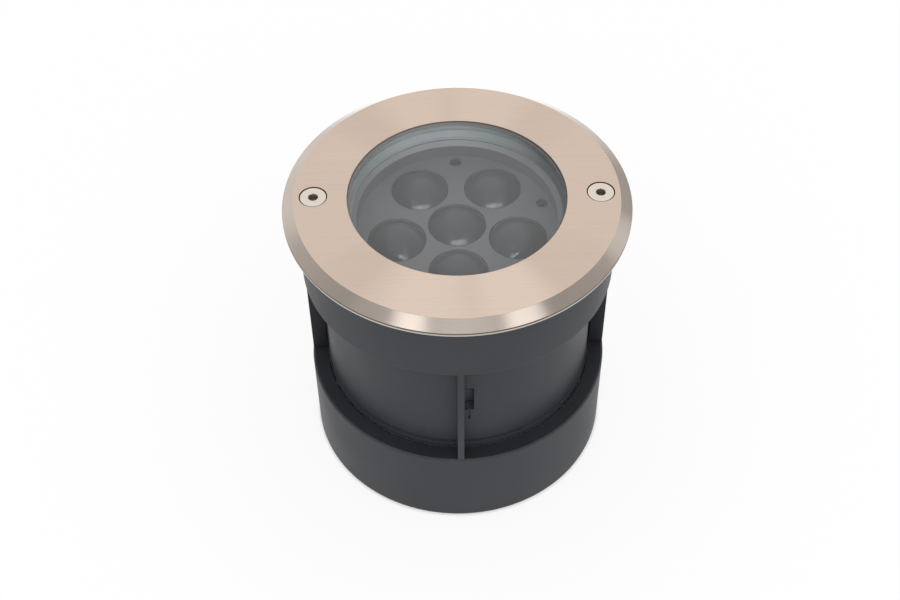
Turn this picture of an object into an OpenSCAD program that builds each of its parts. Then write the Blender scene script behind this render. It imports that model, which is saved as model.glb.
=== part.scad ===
// In ground well light: a sealed lamp with six lenses under thick glass, clamped by a
// stainless face ring, that drops into a mounting sleeve set in the ground. The sleeve is one
// moulding in the real product and is given here as its collar, its webs and its foot ring.
// Z is up, the foot of the sleeve stands on z = 0, and the face screws lie on the X axis.

/* [Mounting sleeve] */
// Outside diameter of the sleeve
sleeve_d = 147.2; // [144:0.2:152]
// Wall of the collar and of the lower ring
sleeve_wall = 2.6; // [2:0.1:3.2]
// Height of the collar under the face ring
collar_h = 34.4; // [28:0.2:40]
// Height of the lower ring
ring_h = 46.5; // [38:0.5:56]
// Thickness of the four upright webs between collar and lower ring
web_t = 3.2; // [2.4:0.1:5]
// How far the webs stand back from the outside of the sleeve
web_set = 0.2; // [0.1:0.05:0.6]
// Thickness of the ledge that carries the lamp
ledge_t = 5; // [3:0.25:7]
// Width of the ledge that carries the lamp
ledge_w = 4.8; // [4.2:0.1:5.4]
// Height of the cone that props the ledge
prop_h = 5; // [3:0.5:8]
// Thickness of the inward lip at the foot
foot_t = 3; // [2:0.25:4]
// Width of the inward lip at the foot
foot_w = 5; // [3:0.25:8]
// Thickness of the shelf that closes the lower ring at its top, up to the can
shelf_t = 2.6; // [2:0.1:3.4]
// Depth of the ribs inside the lower ring
rib_w = 2.5; // [1.5:0.1:4]
// Radius along the lower edge of the collar and the top edge of the lower ring
sleeve_round = 0.9; // [0.4:0.1:1.2]
// Bore of the two conduit bushes at the back
conduit_d = 21; // [17:0.5:23]
// Wall of a conduit bush
bush_wall = 2; // [1.5:0.1:2.6]
// Width of the flange of a conduit bush
bush_flange_w = 2; // [1.5:0.1:3]
// Thickness of the flange of a conduit bush
bush_flange_t = 2; // [1.2:0.1:3]
// Angle from the X axis to each conduit bush
conduit_angle = 50; // [35:1:60]

/* [Face ring] */
// How far the face ring stands out past the sleeve
face_over = 6.4; // [5.6:0.1:9]
// Thickness of the face ring
face_t = 5.8; // [5.4:0.1:8]
// Width of the bevel on the outside edge
bevel_w = 5.5; // [3:0.1:5.8]
// Height of the bevel on the outside edge
bevel_h = 4.3; // [2.5:0.1:4.6]
// How far the lip reaches in over the glass
lip_w = 5.8; // [5.4:0.1:7]
// Thickness of the lip over the glass
lip_t = 2; // [1.6:0.1:2.4]
// Small chamfer along the opening
edge_break = 0.35; // [0.2:0.05:0.6]
// Depth of the recess for the rim seal under the ring
rim_seal_t = 0.8; // [0.5:0.05:1.1]
// How far the rim seal stands back from the outside of the sleeve
rim_seal_set = 1.6; // [1.2:0.1:2]

/* [Face screws] */
// Diameter of the two face screws
screw_d = 5.9; // [5:0.1:6.4]
// Length of a face screw with its head
screw_l = 16; // [14:0.5:18]
// Head diameter
head_d = 12; // [10.5:0.1:12.4]
// How deep the head lies below the face
head_sink = 0.25; // [0.1:0.05:0.5]
// Upright edge of the countersunk head
head_edge = 0.4; // [0.2:0.05:0.6]
// Width across the flats of the hexagon socket
socket_af = 4; // [3:0.5:5]
// Depth of the hexagon socket
socket_h = 2.6; // [2:0.1:3.2]
// Outside diameter of the threaded insert
insert_d = 8; // [7.6:0.1:8.6]
// Length of the threaded insert
insert_l = 9; // [7:0.5:10]
// Distance from the screws to the edge of the body flange
screw_edge = 5; // [4.6:0.1:6]

/* [Glass and seals] */
// Width of the seat under the glass
seat_w = 5; // [4:0.1:5.6]
// Thickness of the glass
glass_t = 8; // [7:0.25:9]
// Ground chamfer on the edges of the glass
glass_chamfer = 0.6; // [0.3:0.1:1]
// Thickness of the seal under the glass
seal_foot_t = 1.95; // [1.5:0.05:2.4]
// Thickness of the seal round the glass
seal_wrap_t = 1.1; // [0.8:0.05:1.6]
// How far the skirt of the seal hangs below the glass
skirt_h = 4.2; // [3:0.1:5]
// How far the skirt leans in towards its lower end
skirt_lean = 1.7; // [1:0.1:2.2]
// Width of the dark bead where glass and lip meet
bead_w = 0.9; // [0.5:0.05:1.2]
// Height of the dark bead
bead_h = 1.1; // [0.6:0.05:1.3]

/* [Lamp body] */
// Height of the wiring space under the lamp
under_h = 45.3; // [40:0.1:60]
// Height of the lamp from the base cap to the face
lamp_h = 106; // [102:0.5:114]
// Wall of the can
can_wall = 3.5; // [2.8:0.1:4.5]
// Height of the flange that rests on the sleeve ledge
flange_h = 15; // [13:0.25:18]
// Width of the cored ring between the can wall and the lens space
core_w = 7; // [6:0.1:7.6]
// Thickness of the diaphragm between the lens space and the driver space
diaphragm_t = 5; // [4.6:0.1:7]
// Wall left between the cored ring and the lens space
core_wall = 3.5; // [2.5:0.1:4.5]
// Thickness of the cooling fins in the cored ring
fin_t = 2.4; // [1.6:0.1:3.5]
// Number of cooling fins
fin_n = 12; // [8:1:16]
// How far the fins hang below the diaphragm
fin_drop = 10; // [4:0.5:16]
// Diameter of the bosses for the base screws
boss_d = 9; // [8.4:0.1:11]
// How far fins and bosses run into the wall that carries them
root_bite = 0.8; // [0.5:0.1:1.5]
// Height of the bosses for the base screws
boss_h = 17; // [14:0.5:22]
// Width of the catch pocket in the can wall
pocket_w = 4.2; // [2:0.2:6]
// Height of the catch pocket
pocket_h = 16; // [10:0.5:20]
// Depth of the catch pocket at its lower end
pocket_depth = 5.2; // [4:0.1:6]
// Wall of the block that holds the catch pocket inside the can
pocket_wall = 2; // [1.4:0.1:2.6]
// Depth below the face of the lower end of the catch pocket
pocket_drop = 76.5; // [70:0.5:84]
// Length of the narrow groove below the catch pocket
groove_h = 7; // [4:0.5:8]
// Width and depth of the narrow groove
groove_w = 0.9; // [0.6:0.1:1.4]

/* [Lens mask and lenses] */
// Floor of the mask left outside the outer lenses
lens_edge = 3.8; // [3:0.1:6]
// Height of the dome of a lens
dome_h = 7.1; // [4:0.1:8]
// Thickness of the mask floor
mask_t = 2; // [1.4:0.1:2.6]
// Depth of the mask from its rim to its floor
mask_depth = 8.7; // [7.5:0.1:10]
// Width and height of the sloped ledge inside the mask rim
mask_ledge = 2; // [1.4:0.1:2.6]
// Wall of the mask
mask_wall = 1.8; // [1.2:0.1:2.2]
// Width of the lens flange under the mask
lens_lip = 0.7; // [0.5:0.05:0.9]
// Thickness of the lens flange under the mask
lens_lip_t = 1.4; // [1:0.1:2]
// Height of a lens holder
holder_h = 10.8; // [9.8:0.1:12]
// Wall of a lens holder at its foot
holder_wall = 1.6; // [1:0.1:2]
// Diameter of the narrow end of a lens
lens_foot_d = 11; // [9.5:0.1:13]
// Diameter of the hollow over the LED
led_hollow_d = 6.4; // [5.6:0.1:7]
// Depth of the hollow over the LED
led_hollow_h = 3.6; // [3:0.1:5]
// Distance from the mask screws to the wall of the mask
mask_screw_edge = 4.1; // [3.9:0.1:5.5]
// Diameter of the mask screws
mask_screw_d = 3; // [2.5:0.1:3.4]
// Head diameter of the mask screws
mask_head_d = 5.4; // [4.6:0.1:5.6]
// Head height of the mask screws
mask_head_h = 1.8; // [1.4:0.1:2]
// How deep the screw heads lie below the mask floor
mask_head_sink = 1.4; // [0.6:0.1:1.6]
// Diameter of the spacers on the mask screws
spacer_d = 6.4; // [5:0.1:7]

/* [LED board] */
// Gap between the LED board and the body
board_gap = 5; // [3:0.1:6]
// Thickness of the LED board
board_t = 1.6; // [1:0.1:2]
// Thickness of the thermal pad
pad_t = 0.4; // [0.3:0.05:1]
// Width of an LED package
led_w = 3.5; // [3:0.1:3.9]
// Height of an LED package
led_h = 0.8; // [0.6:0.1:1]
// Diameter of the LED dome
led_dome_d = 2.8; // [2:0.1:2.9]
// Distance from the lead hole to the edge of the board
lead_edge = 7; // [6.5:0.1:8]
// Diameter of the lead hole
lead_hole_d = 6; // [5:0.25:7]
// Width of the connector over the lead hole
plug_w = 7; // [6:0.25:8]
// Length of the connector over the lead hole
plug_l = 8; // [7:0.25:9]
// Height of the connector over the lead hole
plug_h = 4.5; // [3:0.25:6]

/* [Driver and wiring] */
// Gap between a driver ear and the cored wall
driver_gap = 5; // [4.5:0.1:8]
// Width of the driver
driver_w = 40; // [34:0.5:46]
// Height of the driver
driver_h = 24; // [18:0.5:30]
// Corner radius of the driver
driver_round = 3; // [1:0.25:5]
// Length of a driver ear
ear_l = 7; // [6.5:0.1:8]
// Width of a driver ear
ear_w = 9; // [8:0.25:11]
// Thickness of a driver ear
ear_t = 2.5; // [2:0.1:4]
// Distance of each ear from the driver's centre line
ear_y = 13; // [11:0.25:14]
// Diameter of the driver and terminal screws
small_screw_d = 3; // [2.5:0.1:3.2]
// Head diameter of the driver and terminal screws
small_head_d = 5.4; // [4.6:0.1:5.8]
// Head height of the driver and terminal screws
small_head_h = 2; // [1.5:0.1:2.6]
// Length of the driver screws in the diaphragm
small_screw_bite = 3.6; // [3:0.1:4]
// Gap between the driver and the terminal block
terminal_gap = 10; // [9.5:0.25:12]
// Gap between the terminal block and the cored wall
terminal_edge = 7.5; // [7:0.1:10]
// Length of the terminal block
terminal_l = 20; // [18:0.5:22]
// Width of the terminal block
terminal_w = 13; // [11:0.5:14]
// Height of the terminal block
terminal_h = 14; // [11:0.5:18]
// Diameter of the wire entries in the terminal block
terminal_hole_d = 3.6; // [3:0.1:4.2]
// Diameter of an insulated lead
lead_d = 1.9; // [1.4:0.1:2.4]
// Distance between two leads
lead_pitch = 6; // [5:0.1:6.5]
// Diameter of an LED lead
led_lead_d = 1.5; // [1:0.1:1.8]
// Distance between the two LED leads
led_lead_pitch = 2.4; // [2.2:0.1:2.8]
// Distance of the earth screw from the terminal block
earth_gap = 13; // [12:0.25:14]
// Diameter of the earth boss
earth_boss_d = 8; // [7:0.25:9]
// Height of the earth boss
earth_boss_h = 3; // [2:0.1:4]
// Thickness of the earth tag
tag_t = 1; // [0.6:0.1:1.4]
// Diameter of the crimp on the earth tag
crimp_d = 3; // [2.4:0.1:3.4]
// Length of the crimp on the earth tag
crimp_l = 5; // [4:0.25:6]

/* [Base cap and gland] */
// Thickness of the base cap
cap_t = 5; // [4:0.1:6]
// Radius along the lower edge of the base cap
cap_round = 1.5; // [0.6:0.1:2]
// How far the base cap stands out past the can
cap_lip = 0.5; // [0.1:0.05:0.6]
// Thickness of the base seal
base_seal_t = 1.2; // [0.8:0.1:2]
// Width of the base seal
base_seal_w = 4.4; // [4:0.1:5.5]
// Diameter of the base screws
base_screw_d = 4; // [3.4:0.1:4.2]
// Length of the base screws below their heads
base_screw_l = 14; // [12:0.5:15]
// Head diameter of the base screws
base_head_d = 7; // [6:0.1:7.6]
// Head height of the base screws
base_head_h = 2.6; // [2:0.1:3]
// Thread diameter of the cable gland
gland_d = 20; // [18:0.25:22]
// How far the flats of the gland hexagons stand out past the thread
gland_flat_w = 2; // [1.8:0.05:3]
// Height of the gland hexagon
gland_hex_h = 5; // [4:0.25:7]
// Height of the gland neck under its hexagon
gland_neck_h = 8; // [6:0.25:9]
// Height of the clamping nut of the gland
gland_clamp_h = 15; // [13:0.25:16]
// Height of the gland locknut
locknut_h = 5; // [3.5:0.25:6]
// Thickness of the gland washer
washer_t = 1.5; // [1:0.1:2]
// Bore of the gland body
gland_bore_d = 13; // [12.4:0.1:13.4]
// Bore for the supply cable
cable_d = 8.6; // [7.6:0.1:9]

/* [Fits] */
// Gap between the sleeve rim and the face ring
rim_gap = 0.3; // [0.3:0.05:0.6]
// Gap between the body flange and the collar
flange_gap = 0.4; // [0.3:0.05:0.5]
// Gap between the can and the webs and ledge
guide_gap = 1.2; // [0.8:0.1:1.8]
// Gap between the collar and the land under the face ring
land_gap = 0.6; // [0.4:0.05:1]
// Gap between a conduit bush and the foot ring
bush_gap = 0.3; // [0.2:0.05:0.5]
// Gap round a screw in a plain hole
screw_gap = 0.3; // [0.2:0.05:0.4]
// Gap round a screw in its thread
thread_gap = 0.05; // [0.03:0.01:0.08]
// Gap round a screw head in its countersink
head_gap = 0.4; // [0.3:0.05:0.5]
// Gap round the seals
seal_gap = 0.1; // [0.05:0.01:0.2]
// Gap between glass and seals
glass_gap = 0.05; // [0.03:0.01:0.1]
// Gap under the skirt of the seal
skirt_gap = 0.6; // [0.3:0.05:1]
// Gap between the mask and the body
mask_gap = 0.6; // [0.4:0.05:0.8]
// Gap between a lens and its hole or holder
lens_gap = 0.3; // [0.2:0.05:0.4]
// Least distance between two lens holders
holder_gap = 1.1; // [0.6:0.1:1.6]

/* [Hidden] */
$fn = 96;
// Every cut runs past its face by this much
over = 1;
small_fn = 40;

// Counts and angles of the layout
face_screw_angles = [0, 180];
web_angles = [0, 90, 180, 270];
base_screw_angles = [45, 135, 225, 315];
outer_lens_n = 5;
lens_step = 360 / outer_lens_n;
front_angle = 270;
// The places between two outer lenses take the mask screws, but for one that takes the leads
lead_place = 3;
between_angles = [for (k = [0:outer_lens_n - 1]) front_angle + lens_step * k + lens_step / 2];
mask_screw_angles = [for (k = [0:outer_lens_n - 1]) if (k != lead_place) between_angles[k]];
lead_hole_angle = between_angles[lead_place];
// The catch pocket lies just right of the front web
pocket_angle = 273.6;
// Width of the sockets in the small screws as a share of their diameter
socket_share = 0.7;
// From the middle to the far side of an outer lens lie three lens radii
lens_radii_n = 3;

// Radii worked out from the sizes above, from the outside to the middle
sleeve_r = sleeve_d / 2;
sleeve_in_r = sleeve_r - sleeve_wall;
root_r = sleeve_r - sleeve_wall / 2;
web_r = sleeve_r - web_set;
face_r = sleeve_r + face_over;
land_r = sleeve_r + land_gap;
flange_r = sleeve_in_r - flange_gap;
screw_r = flange_r - screw_edge;
guide_r = sleeve_in_r - ledge_w;
can_r = guide_r - guide_gap;
can_in_r = can_r - can_wall;
boss_r = can_in_r - boss_d / 2 + root_bite;
core_in_r = can_in_r - core_w;
optic_r = core_in_r - core_wall;
glass_r = optic_r + seat_w;
wrap_r = glass_r + glass_gap + seal_wrap_t;
rebate_r = wrap_r + seal_gap;
opening_r = glass_r - lip_w;
skirt_r = optic_r - seal_gap;
mask_rim_r = optic_r - mask_gap;
mask_in_r = opening_r - skirt_lean - mask_ledge;
mask_screw_r = mask_in_r - mask_screw_edge;
board_r = optic_r - board_gap;
lead_hole_r = board_r - lead_edge;
lens_side = lens_lip + lens_gap / 2;
lens_r = (mask_in_r - lens_edge - 2 * lens_side - holder_gap) / lens_radii_n;
lens_lip_r = lens_r + lens_lip;
holder_r = lens_r + lens_side;
pitch_r = 2 * holder_r + holder_gap;
dome_r = (lens_r * lens_r + dome_h * dome_h) / (2 * dome_h);

// Heights worked out from the sizes above
cap_z = under_h;
face_z = cap_z + lamp_h;
rim_z = face_z - face_t;
sleeve_h = rim_z - rim_gap;
flange_z = rim_z - flange_h;
ledge_z = flange_z - ledge_t;
collar_z = sleeve_h - collar_h;
pocket_z = face_z - pocket_drop;
glass_top_z = face_z - lip_t - glass_gap;
glass_z = glass_top_z - glass_t;
seat_z = glass_z - glass_gap - seal_foot_t;
mask_rim_z = glass_z - skirt_h - skirt_gap;
mask_z = mask_rim_z - mask_depth;
mask_under_z = mask_z - mask_t;
holder_top_z = mask_under_z - lens_lip_t;
board_z = holder_top_z - holder_h;
pad_z = board_z - board_t - pad_t;
diaphragm_z = pad_z - diaphragm_t;
can_z = cap_z + cap_t + base_seal_t;
core_top_z = flange_z - can_wall;
mask_seat_z = mask_z - mask_head_sink - mask_head_h;
spacer_top_z = mask_seat_z - mask_t;
lead_z = diaphragm_z - terminal_h / 2;
tag_z = diaphragm_z - earth_boss_h - tag_t;
gland_hex_z = cap_z - washer_t - gland_hex_h;
gland_nut_z = gland_hex_z - gland_clamp_h;
gland_af = gland_d + 2 * gland_flat_w;

// Places across the driver space, from the driver ear on the left to the terminal block
driver_start_x = driver_gap + ear_l + ear_t - core_in_r;
terminal_x = core_in_r - terminal_edge - terminal_w / 2;
driver_end_x = terminal_x - terminal_w / 2 - terminal_gap;
driver_l = driver_end_x - driver_start_x;
driver_x = (driver_start_x + driver_end_x) / 2;
earth_y = terminal_l / 2 + earth_gap;

// The conduit bushes: each has its flange behind the wall and its rim just inside the outside
bush_r = conduit_d / 2 + bush_wall;
bush_flange_r = bush_r + bush_flange_w;
bush_seat = sqrt(sleeve_in_r * sleeve_in_r - bush_flange_r * bush_flange_r) - bush_gap;
bush_end = sqrt(web_r * web_r - bush_r * bush_r);
bush_z = (ring_h + foot_t) / 2;

// Lens positions: one in the middle and a ring of five, the first at the front
lens_places = concat([[0, 0]],
    [for (k = [0:outer_lens_n - 1])
        [pitch_r * cos(front_angle + lens_step * k), pitch_r * sin(front_angle + lens_step * k)]]);
LENS_COUNT = len(lens_places);

// A round bar or hole from z to z + h
module bar(r, z, h) {
    translate([0, 0, z])
        cylinder(r = r, h = h);
}

// Copies of a shape at radius r and each of the angles
module around(angles, r = 0) {
    for (a = angles)
        rotate([0, 0, a])
            translate([r, 0, 0])
                children();
}

// A flat ring between two radii
module washer(outer, inner, z, h) {
    difference() {
        bar(outer, z, h);
        bar(inner, z - over, h + 2 * over);
    }
}

// A band round the Z axis whose two outer edges are rounded
module rounded_band(inner, outer, z, h, edge) {
    rotate_extrude()
        translate([inner, z]) {
            square([outer - inner - edge, h]);
            translate([0, edge])
                square([outer - inner, h - 2 * edge]);
            for (y = [edge, h - edge])
                translate([outer - inner - edge, y])
                    circle(r = edge, $fn = small_fn);
        }
}

// A hexagonal bar given across its flats
module hexagon(af, z, h) {
    translate([0, 0, z])
        cylinder(d = af / cos(30), h = h, $fn = 6);
}

// A block centred on x and y
module block(size, z) {
    translate([-size[0] / 2, -size[1] / 2, z])
        cube(size);
}

// The collar of the sleeve with the propped ledge that carries the lamp and its guide ribs
module sleeve_collar() {
    color([0.12, 0.12, 0.13])
        union() {
            rounded_band(sleeve_in_r, sleeve_r, collar_z, collar_h, sleeve_round);
            rotate_extrude()
                polygon([
                    [root_r, ledge_z - prop_h], [sleeve_in_r, ledge_z - prop_h],
                    [guide_r, ledge_z], [guide_r, flange_z], [root_r, flange_z]
                ]);
            around(web_angles)
                translate([guide_r, -web_t / 2, collar_z])
                    cube([root_r - guide_r, web_t, ledge_z - collar_z]);
        }
}

// The four webs between the windows of the sleeve
module sleeve_webs() {
    color([0.12, 0.12, 0.13])
        around(web_angles)
            intersection() {
                translate([guide_r, -web_t / 2, ring_h])
                    cube([sleeve_wall + ledge_w, web_t, collar_z - ring_h]);
                bar(web_r, ring_h - over, collar_z - ring_h + 2 * over);
            }
}

// The foot ring of the sleeve with its lip, its shelf, its ribs and the holes for the bushes
module sleeve_foot_ring() {
    color([0.12, 0.12, 0.13])
        difference() {
            union() {
                rounded_band(sleeve_in_r, sleeve_r, 0, ring_h, sleeve_round);
                washer(root_r, sleeve_in_r - foot_w, 0, foot_t);
                washer(root_r, guide_r, ring_h - shelf_t, shelf_t);
                around(web_angles)
                    translate([sleeve_in_r - rib_w, -web_t / 2, foot_t])
                        cube([root_r - sleeve_in_r + rib_w, web_t, ring_h - shelf_t - foot_t]);
            }
            for (a = [conduit_angle, 180 - conduit_angle])
                outward(a)
                    bar(bush_r + bush_gap, 0, face_r);
        }
}

// Turns a shape that stands on Z so that it points outward at an angle, at the bushes' height
module outward(angle) {
    translate([0, 0, bush_z])
        rotate([0, 90, angle])
            children();
}

// A push-in bush for 20 mm conduit, with its flange behind the wall of the foot ring
module conduit_bush(angle) {
    color([0.1, 0.1, 0.1])
        outward(angle)
            difference() {
                union() {
                    bar(bush_r, bush_seat, bush_end - bush_seat);
                    bar(bush_flange_r, bush_seat - bush_flange_t, bush_flange_t);
                }
                bar(conduit_d / 2, bush_seat - bush_flange_t - over, bush_end);
            }
}

// The stainless ring with its bevel, the lip over the glass and two countersunk holes
module face_ring() {
    hole_r = screw_d / 2 + screw_gap;
    sink_r = head_d / 2 + head_gap;
    sink_z = face_z - head_sink - head_edge;
    color([0.78, 0.72, 0.66])
        difference() {
            rotate_extrude()
                polygon([
                    [opening_r + edge_break, face_z], [face_r - bevel_w, face_z],
                    [face_r, face_z - bevel_h], [face_r, rim_z],
                    [land_r, rim_z], [land_r, rim_z + rim_seal_t],
                    [rebate_r, rim_z + rim_seal_t], [rebate_r, face_z - lip_t],
                    [opening_r, face_z - lip_t], [opening_r, face_z - edge_break]
                ]);
            around(face_screw_angles, screw_r) {
                bar(hole_r, rim_z - over, face_t + 2 * over);
                translate([0, 0, sink_z - sink_r + hole_r])
                    cylinder(r1 = hole_r, r2 = sink_r, h = sink_r - hole_r);
                bar(sink_r, sink_z, face_z - sink_z + over);
            }
        }
}

// Two countersunk screws with hexagon sockets
module face_screws() {
    top_z = face_z - head_sink;
    cone_h = head_d / 2 - screw_d / 2;
    color([0.85, 0.82, 0.78])
        around(face_screw_angles, screw_r)
            difference() {
                union() {
                    bar(head_d / 2, top_z - head_edge, head_edge);
                    translate([0, 0, top_z - head_edge - cone_h])
                        cylinder(r1 = screw_d / 2, r2 = head_d / 2, h = cone_h);
                    bar(screw_d / 2, top_z - screw_l, screw_l - head_edge);
                }
                hexagon(socket_af, top_z - socket_h, socket_h + over);
            }
}

// The threaded inserts in the flange of the body
module thread_inserts() {
    color([0.72, 0.58, 0.3])
        around(face_screw_angles, screw_r)
            washer(insert_d / 2, screw_d / 2 + thread_gap, rim_z - insert_l, insert_l);
}

// The flat seal between the face ring, the body flange and the sleeve rim
module rim_seal() {
    color([0.08, 0.08, 0.08])
        difference() {
            washer(sleeve_r - rim_seal_set, rebate_r + seal_gap, rim_z, rim_seal_t);
            around(face_screw_angles, screw_r)
                bar(screw_d / 2 + screw_gap, rim_z - over, rim_seal_t + 2 * over);
        }
}

// The dark bead that closes the corner between the glass and the lip
module glass_bead() {
    bead_r = opening_r - seal_gap;
    color([0.05, 0.05, 0.05])
        rotate_extrude()
            polygon([
                [bead_r - bead_w, glass_top_z + glass_gap], [bead_r, glass_top_z + glass_gap],
                [bead_r, glass_top_z + glass_gap + bead_h]
            ]);
}

// The toughened glass with ground edges
module glass_disc() {
    color([0.75, 0.86, 0.86, 0.4])
        rotate_extrude()
            polygon([
                [0, glass_z], [glass_r - glass_chamfer, glass_z],
                [glass_r, glass_z + glass_chamfer], [glass_r, glass_top_z - glass_chamfer],
                [glass_r - glass_chamfer, glass_top_z], [0, glass_top_z]
            ]);
}

// The pale seal: a foot under the glass, a wrap round it and a skirt down to the mask
module glass_seal() {
    wrap_in_r = glass_r + glass_gap;
    foot_top_z = glass_z - glass_gap;
    skirt_z = glass_z - skirt_h;
    color([0.62, 0.68, 0.68])
        rotate_extrude()
            polygon([
                [opening_r, foot_top_z], [wrap_in_r, foot_top_z],
                [wrap_in_r, glass_top_z - glass_chamfer], [wrap_r, glass_top_z - glass_chamfer],
                [wrap_r, seat_z], [skirt_r, seat_z], [skirt_r, skirt_z],
                [opening_r - skirt_lean, skirt_z]
            ]);
}

// The die-cast body: flange, glass seat, lens space, diaphragm, cored ring with fins, and can
module lamp_body() {
    earth_z = diaphragm_z - earth_boss_h;
    hole_z = face_z - head_sink - screw_l - over;
    color([0.13, 0.13, 0.14])
        difference() {
            union() {
                difference() {
                    rotate_extrude()
                        polygon([
                            [0, can_z], [can_r, can_z], [can_r, flange_z],
                            [flange_r, flange_z], [flange_r, rim_z],
                            [rebate_r, rim_z], [rebate_r, seat_z],
                            [optic_r, seat_z], [optic_r, pad_z], [0, pad_z]
                        ]);
                    bar(can_in_r, can_z - over, diaphragm_z - can_z + over);
                    washer(can_in_r, core_in_r, diaphragm_z - over, core_top_z - diaphragm_z + over);
                }
                fins();
                pocket_block();
                around(base_screw_angles, boss_r)
                    bar(boss_d / 2, can_z, boss_h);
                translate([terminal_x, earth_y, 0])
                    bar(earth_boss_d / 2, earth_z, earth_boss_h + over);
            }
            around(face_screw_angles, screw_r) {
                bar(insert_d / 2 + thread_gap, rim_z - insert_l, insert_l + over);
                bar(screw_d / 2 + screw_gap, hole_z, rim_z - hole_z);
            }
            around(base_screw_angles, boss_r)
                bar(base_screw_d / 2 + thread_gap, can_z - over, base_screw_l + over);
            around(mask_screw_angles, mask_screw_r)
                bar(mask_screw_d / 2 + thread_gap, pad_z - small_screw_bite, small_screw_bite + over);
            driver_screw_places()
                bar(small_screw_d / 2 + thread_gap, diaphragm_z - over, small_screw_bite + over);
            translate([terminal_x, 0, 0])
                bar(small_screw_d / 2 + thread_gap, diaphragm_z - over, small_screw_bite + over);
            translate([terminal_x, earth_y, 0])
                bar(small_screw_d / 2 + thread_gap, earth_z - over, earth_boss_h + small_screw_bite + over);
            lead_hole(diaphragm_z - over, diaphragm_t + 2 * over);
            catch_pocket();
        }
}

// Cooling fins that cross the cored ring and hang below the diaphragm
module fins() {
    fin_w = can_in_r - core_in_r + 2 * root_bite;
    around([for (k = [0:fin_n - 1]) 360 * k / fin_n + 180 / fin_n])
        translate([core_in_r - root_bite, -fin_t / 2, diaphragm_z - fin_drop])
            cube([fin_w, fin_t, core_top_z - diaphragm_z + fin_drop + root_bite]);
}

// The block inside the can wall that the catch pocket is sunk into
module pocket_block() {
    block_w = pocket_w + 2 * pocket_wall;
    block_in_r = can_r - pocket_depth - pocket_wall;
    rotate([0, 0, pocket_angle])
        translate([block_in_r, -block_w / 2, pocket_z - pocket_wall])
            cube([can_r - can_wall / 2 - block_in_r, block_w, pocket_h + pocket_wall]);
}

// The small ramped pocket in the can wall with a narrow groove below it
module catch_pocket() {
    rotate([90, 0, pocket_angle]) {
        translate([0, 0, -pocket_w / 2])
            linear_extrude(pocket_w)
                polygon([
                    [can_r + over, pocket_z], [can_r - pocket_depth, pocket_z],
                    [can_r - pocket_depth, pocket_z + pocket_h / 2],
                    [can_r, pocket_z + pocket_h], [can_r + over, pocket_z + pocket_h]
                ]);
        translate([can_r - groove_w, pocket_z - groove_h, -groove_w / 2])
            cube([groove_w + over, groove_h + over, groove_w]);
    }
}

// The hole for the LED leads
module lead_hole(z, h) {
    rotate([0, 0, lead_hole_angle])
        translate([lead_hole_r, 0, 0])
            bar(lead_hole_d / 2, z, h);
}

// The dished black mask with its lens holes and sunk screw places
module lens_mask() {
    well_r = mask_head_d / 2 + screw_gap;
    color([0.1, 0.1, 0.11])
        difference() {
            union() {
                rotate_extrude()
                    polygon([
                        [0, mask_under_z], [mask_in_r + mask_wall, mask_under_z],
                        [mask_in_r + mask_wall, mask_rim_z - mask_ledge - mask_wall],
                        [mask_rim_r, mask_rim_z - mask_ledge], [mask_rim_r, mask_rim_z],
                        [mask_in_r + mask_ledge, mask_rim_z], [mask_in_r, mask_rim_z - mask_ledge],
                        [mask_in_r, mask_z], [0, mask_z]
                    ]);
                around(mask_screw_angles, mask_screw_r)
                    bar(well_r + mask_wall, spacer_top_z, mask_z - spacer_top_z - mask_t / 2);
            }
            for (p = lens_places)
                translate(p)
                    bar(lens_r + lens_gap, mask_under_z - over, mask_t + 2 * over);
            around(mask_screw_angles, mask_screw_r) {
                bar(well_r, mask_seat_z, mask_z - mask_seat_z + over);
                bar(mask_screw_d / 2 + screw_gap, spacer_top_z - over, mask_t + 2 * over);
            }
        }
}

// The screws through the mask, its spacers and the board into the diaphragm
module mask_screws() {
    foot_z = pad_z - small_screw_bite + thread_gap;
    color([0.55, 0.55, 0.56])
        around(mask_screw_angles, mask_screw_r)
            difference() {
                union() {
                    bar(mask_head_d / 2, mask_seat_z, mask_head_h);
                    bar(mask_screw_d / 2, foot_z, mask_seat_z - foot_z);
                }
                hexagon(mask_screw_d * socket_share, mask_seat_z + mask_head_h / 2, mask_head_h);
            }
}

// The spacers between the mask and the board
module mask_spacers() {
    color([0.75, 0.75, 0.76])
        around(mask_screw_angles, mask_screw_r)
            washer(spacer_d / 2, mask_screw_d / 2 + screw_gap, board_z, spacer_top_z - board_z);
}

// One clear lens: dome, rim in the mask hole, flange, tapered body and hollow over the LED
module lens(place) {
    foot_r = lens_foot_d / 2;
    body_h = holder_h - led_h - lens_gap;
    color([0.8, 0.84, 0.88, 0.45])
        translate(place)
            difference() {
                union() {
                    intersection() {
                        translate([0, 0, mask_z + dome_h - dome_r])
                            sphere(r = dome_r);
                        bar(lens_r + over, mask_z, dome_h + over);
                    }
                    bar(lens_r, holder_top_z, mask_z - holder_top_z);
                    bar(lens_lip_r, holder_top_z, lens_lip_t);
                    translate([0, 0, holder_top_z - body_h])
                        cylinder(r1 = foot_r, r2 = lens_r - holder_wall, h = body_h);
                }
                bar(led_hollow_d / 2, holder_top_z - body_h - over, led_hollow_h + over);
            }
}

// One black holder that carries a lens over its LED
module lens_holder(place) {
    foot_r = lens_foot_d / 2;
    top_r = lens_r - holder_wall;
    color([0.09, 0.09, 0.09])
        translate(place)
            difference() {
                bar(holder_r, board_z, holder_h);
                translate([0, 0, board_z])
                    cylinder(r1 = foot_r + lens_gap, r2 = top_r + lens_gap, h = holder_h);
                bar(foot_r + lens_gap, board_z - over, 2 * over);
                bar(top_r + lens_gap, holder_top_z - lens_gap / 2, over);
            }
}

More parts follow.
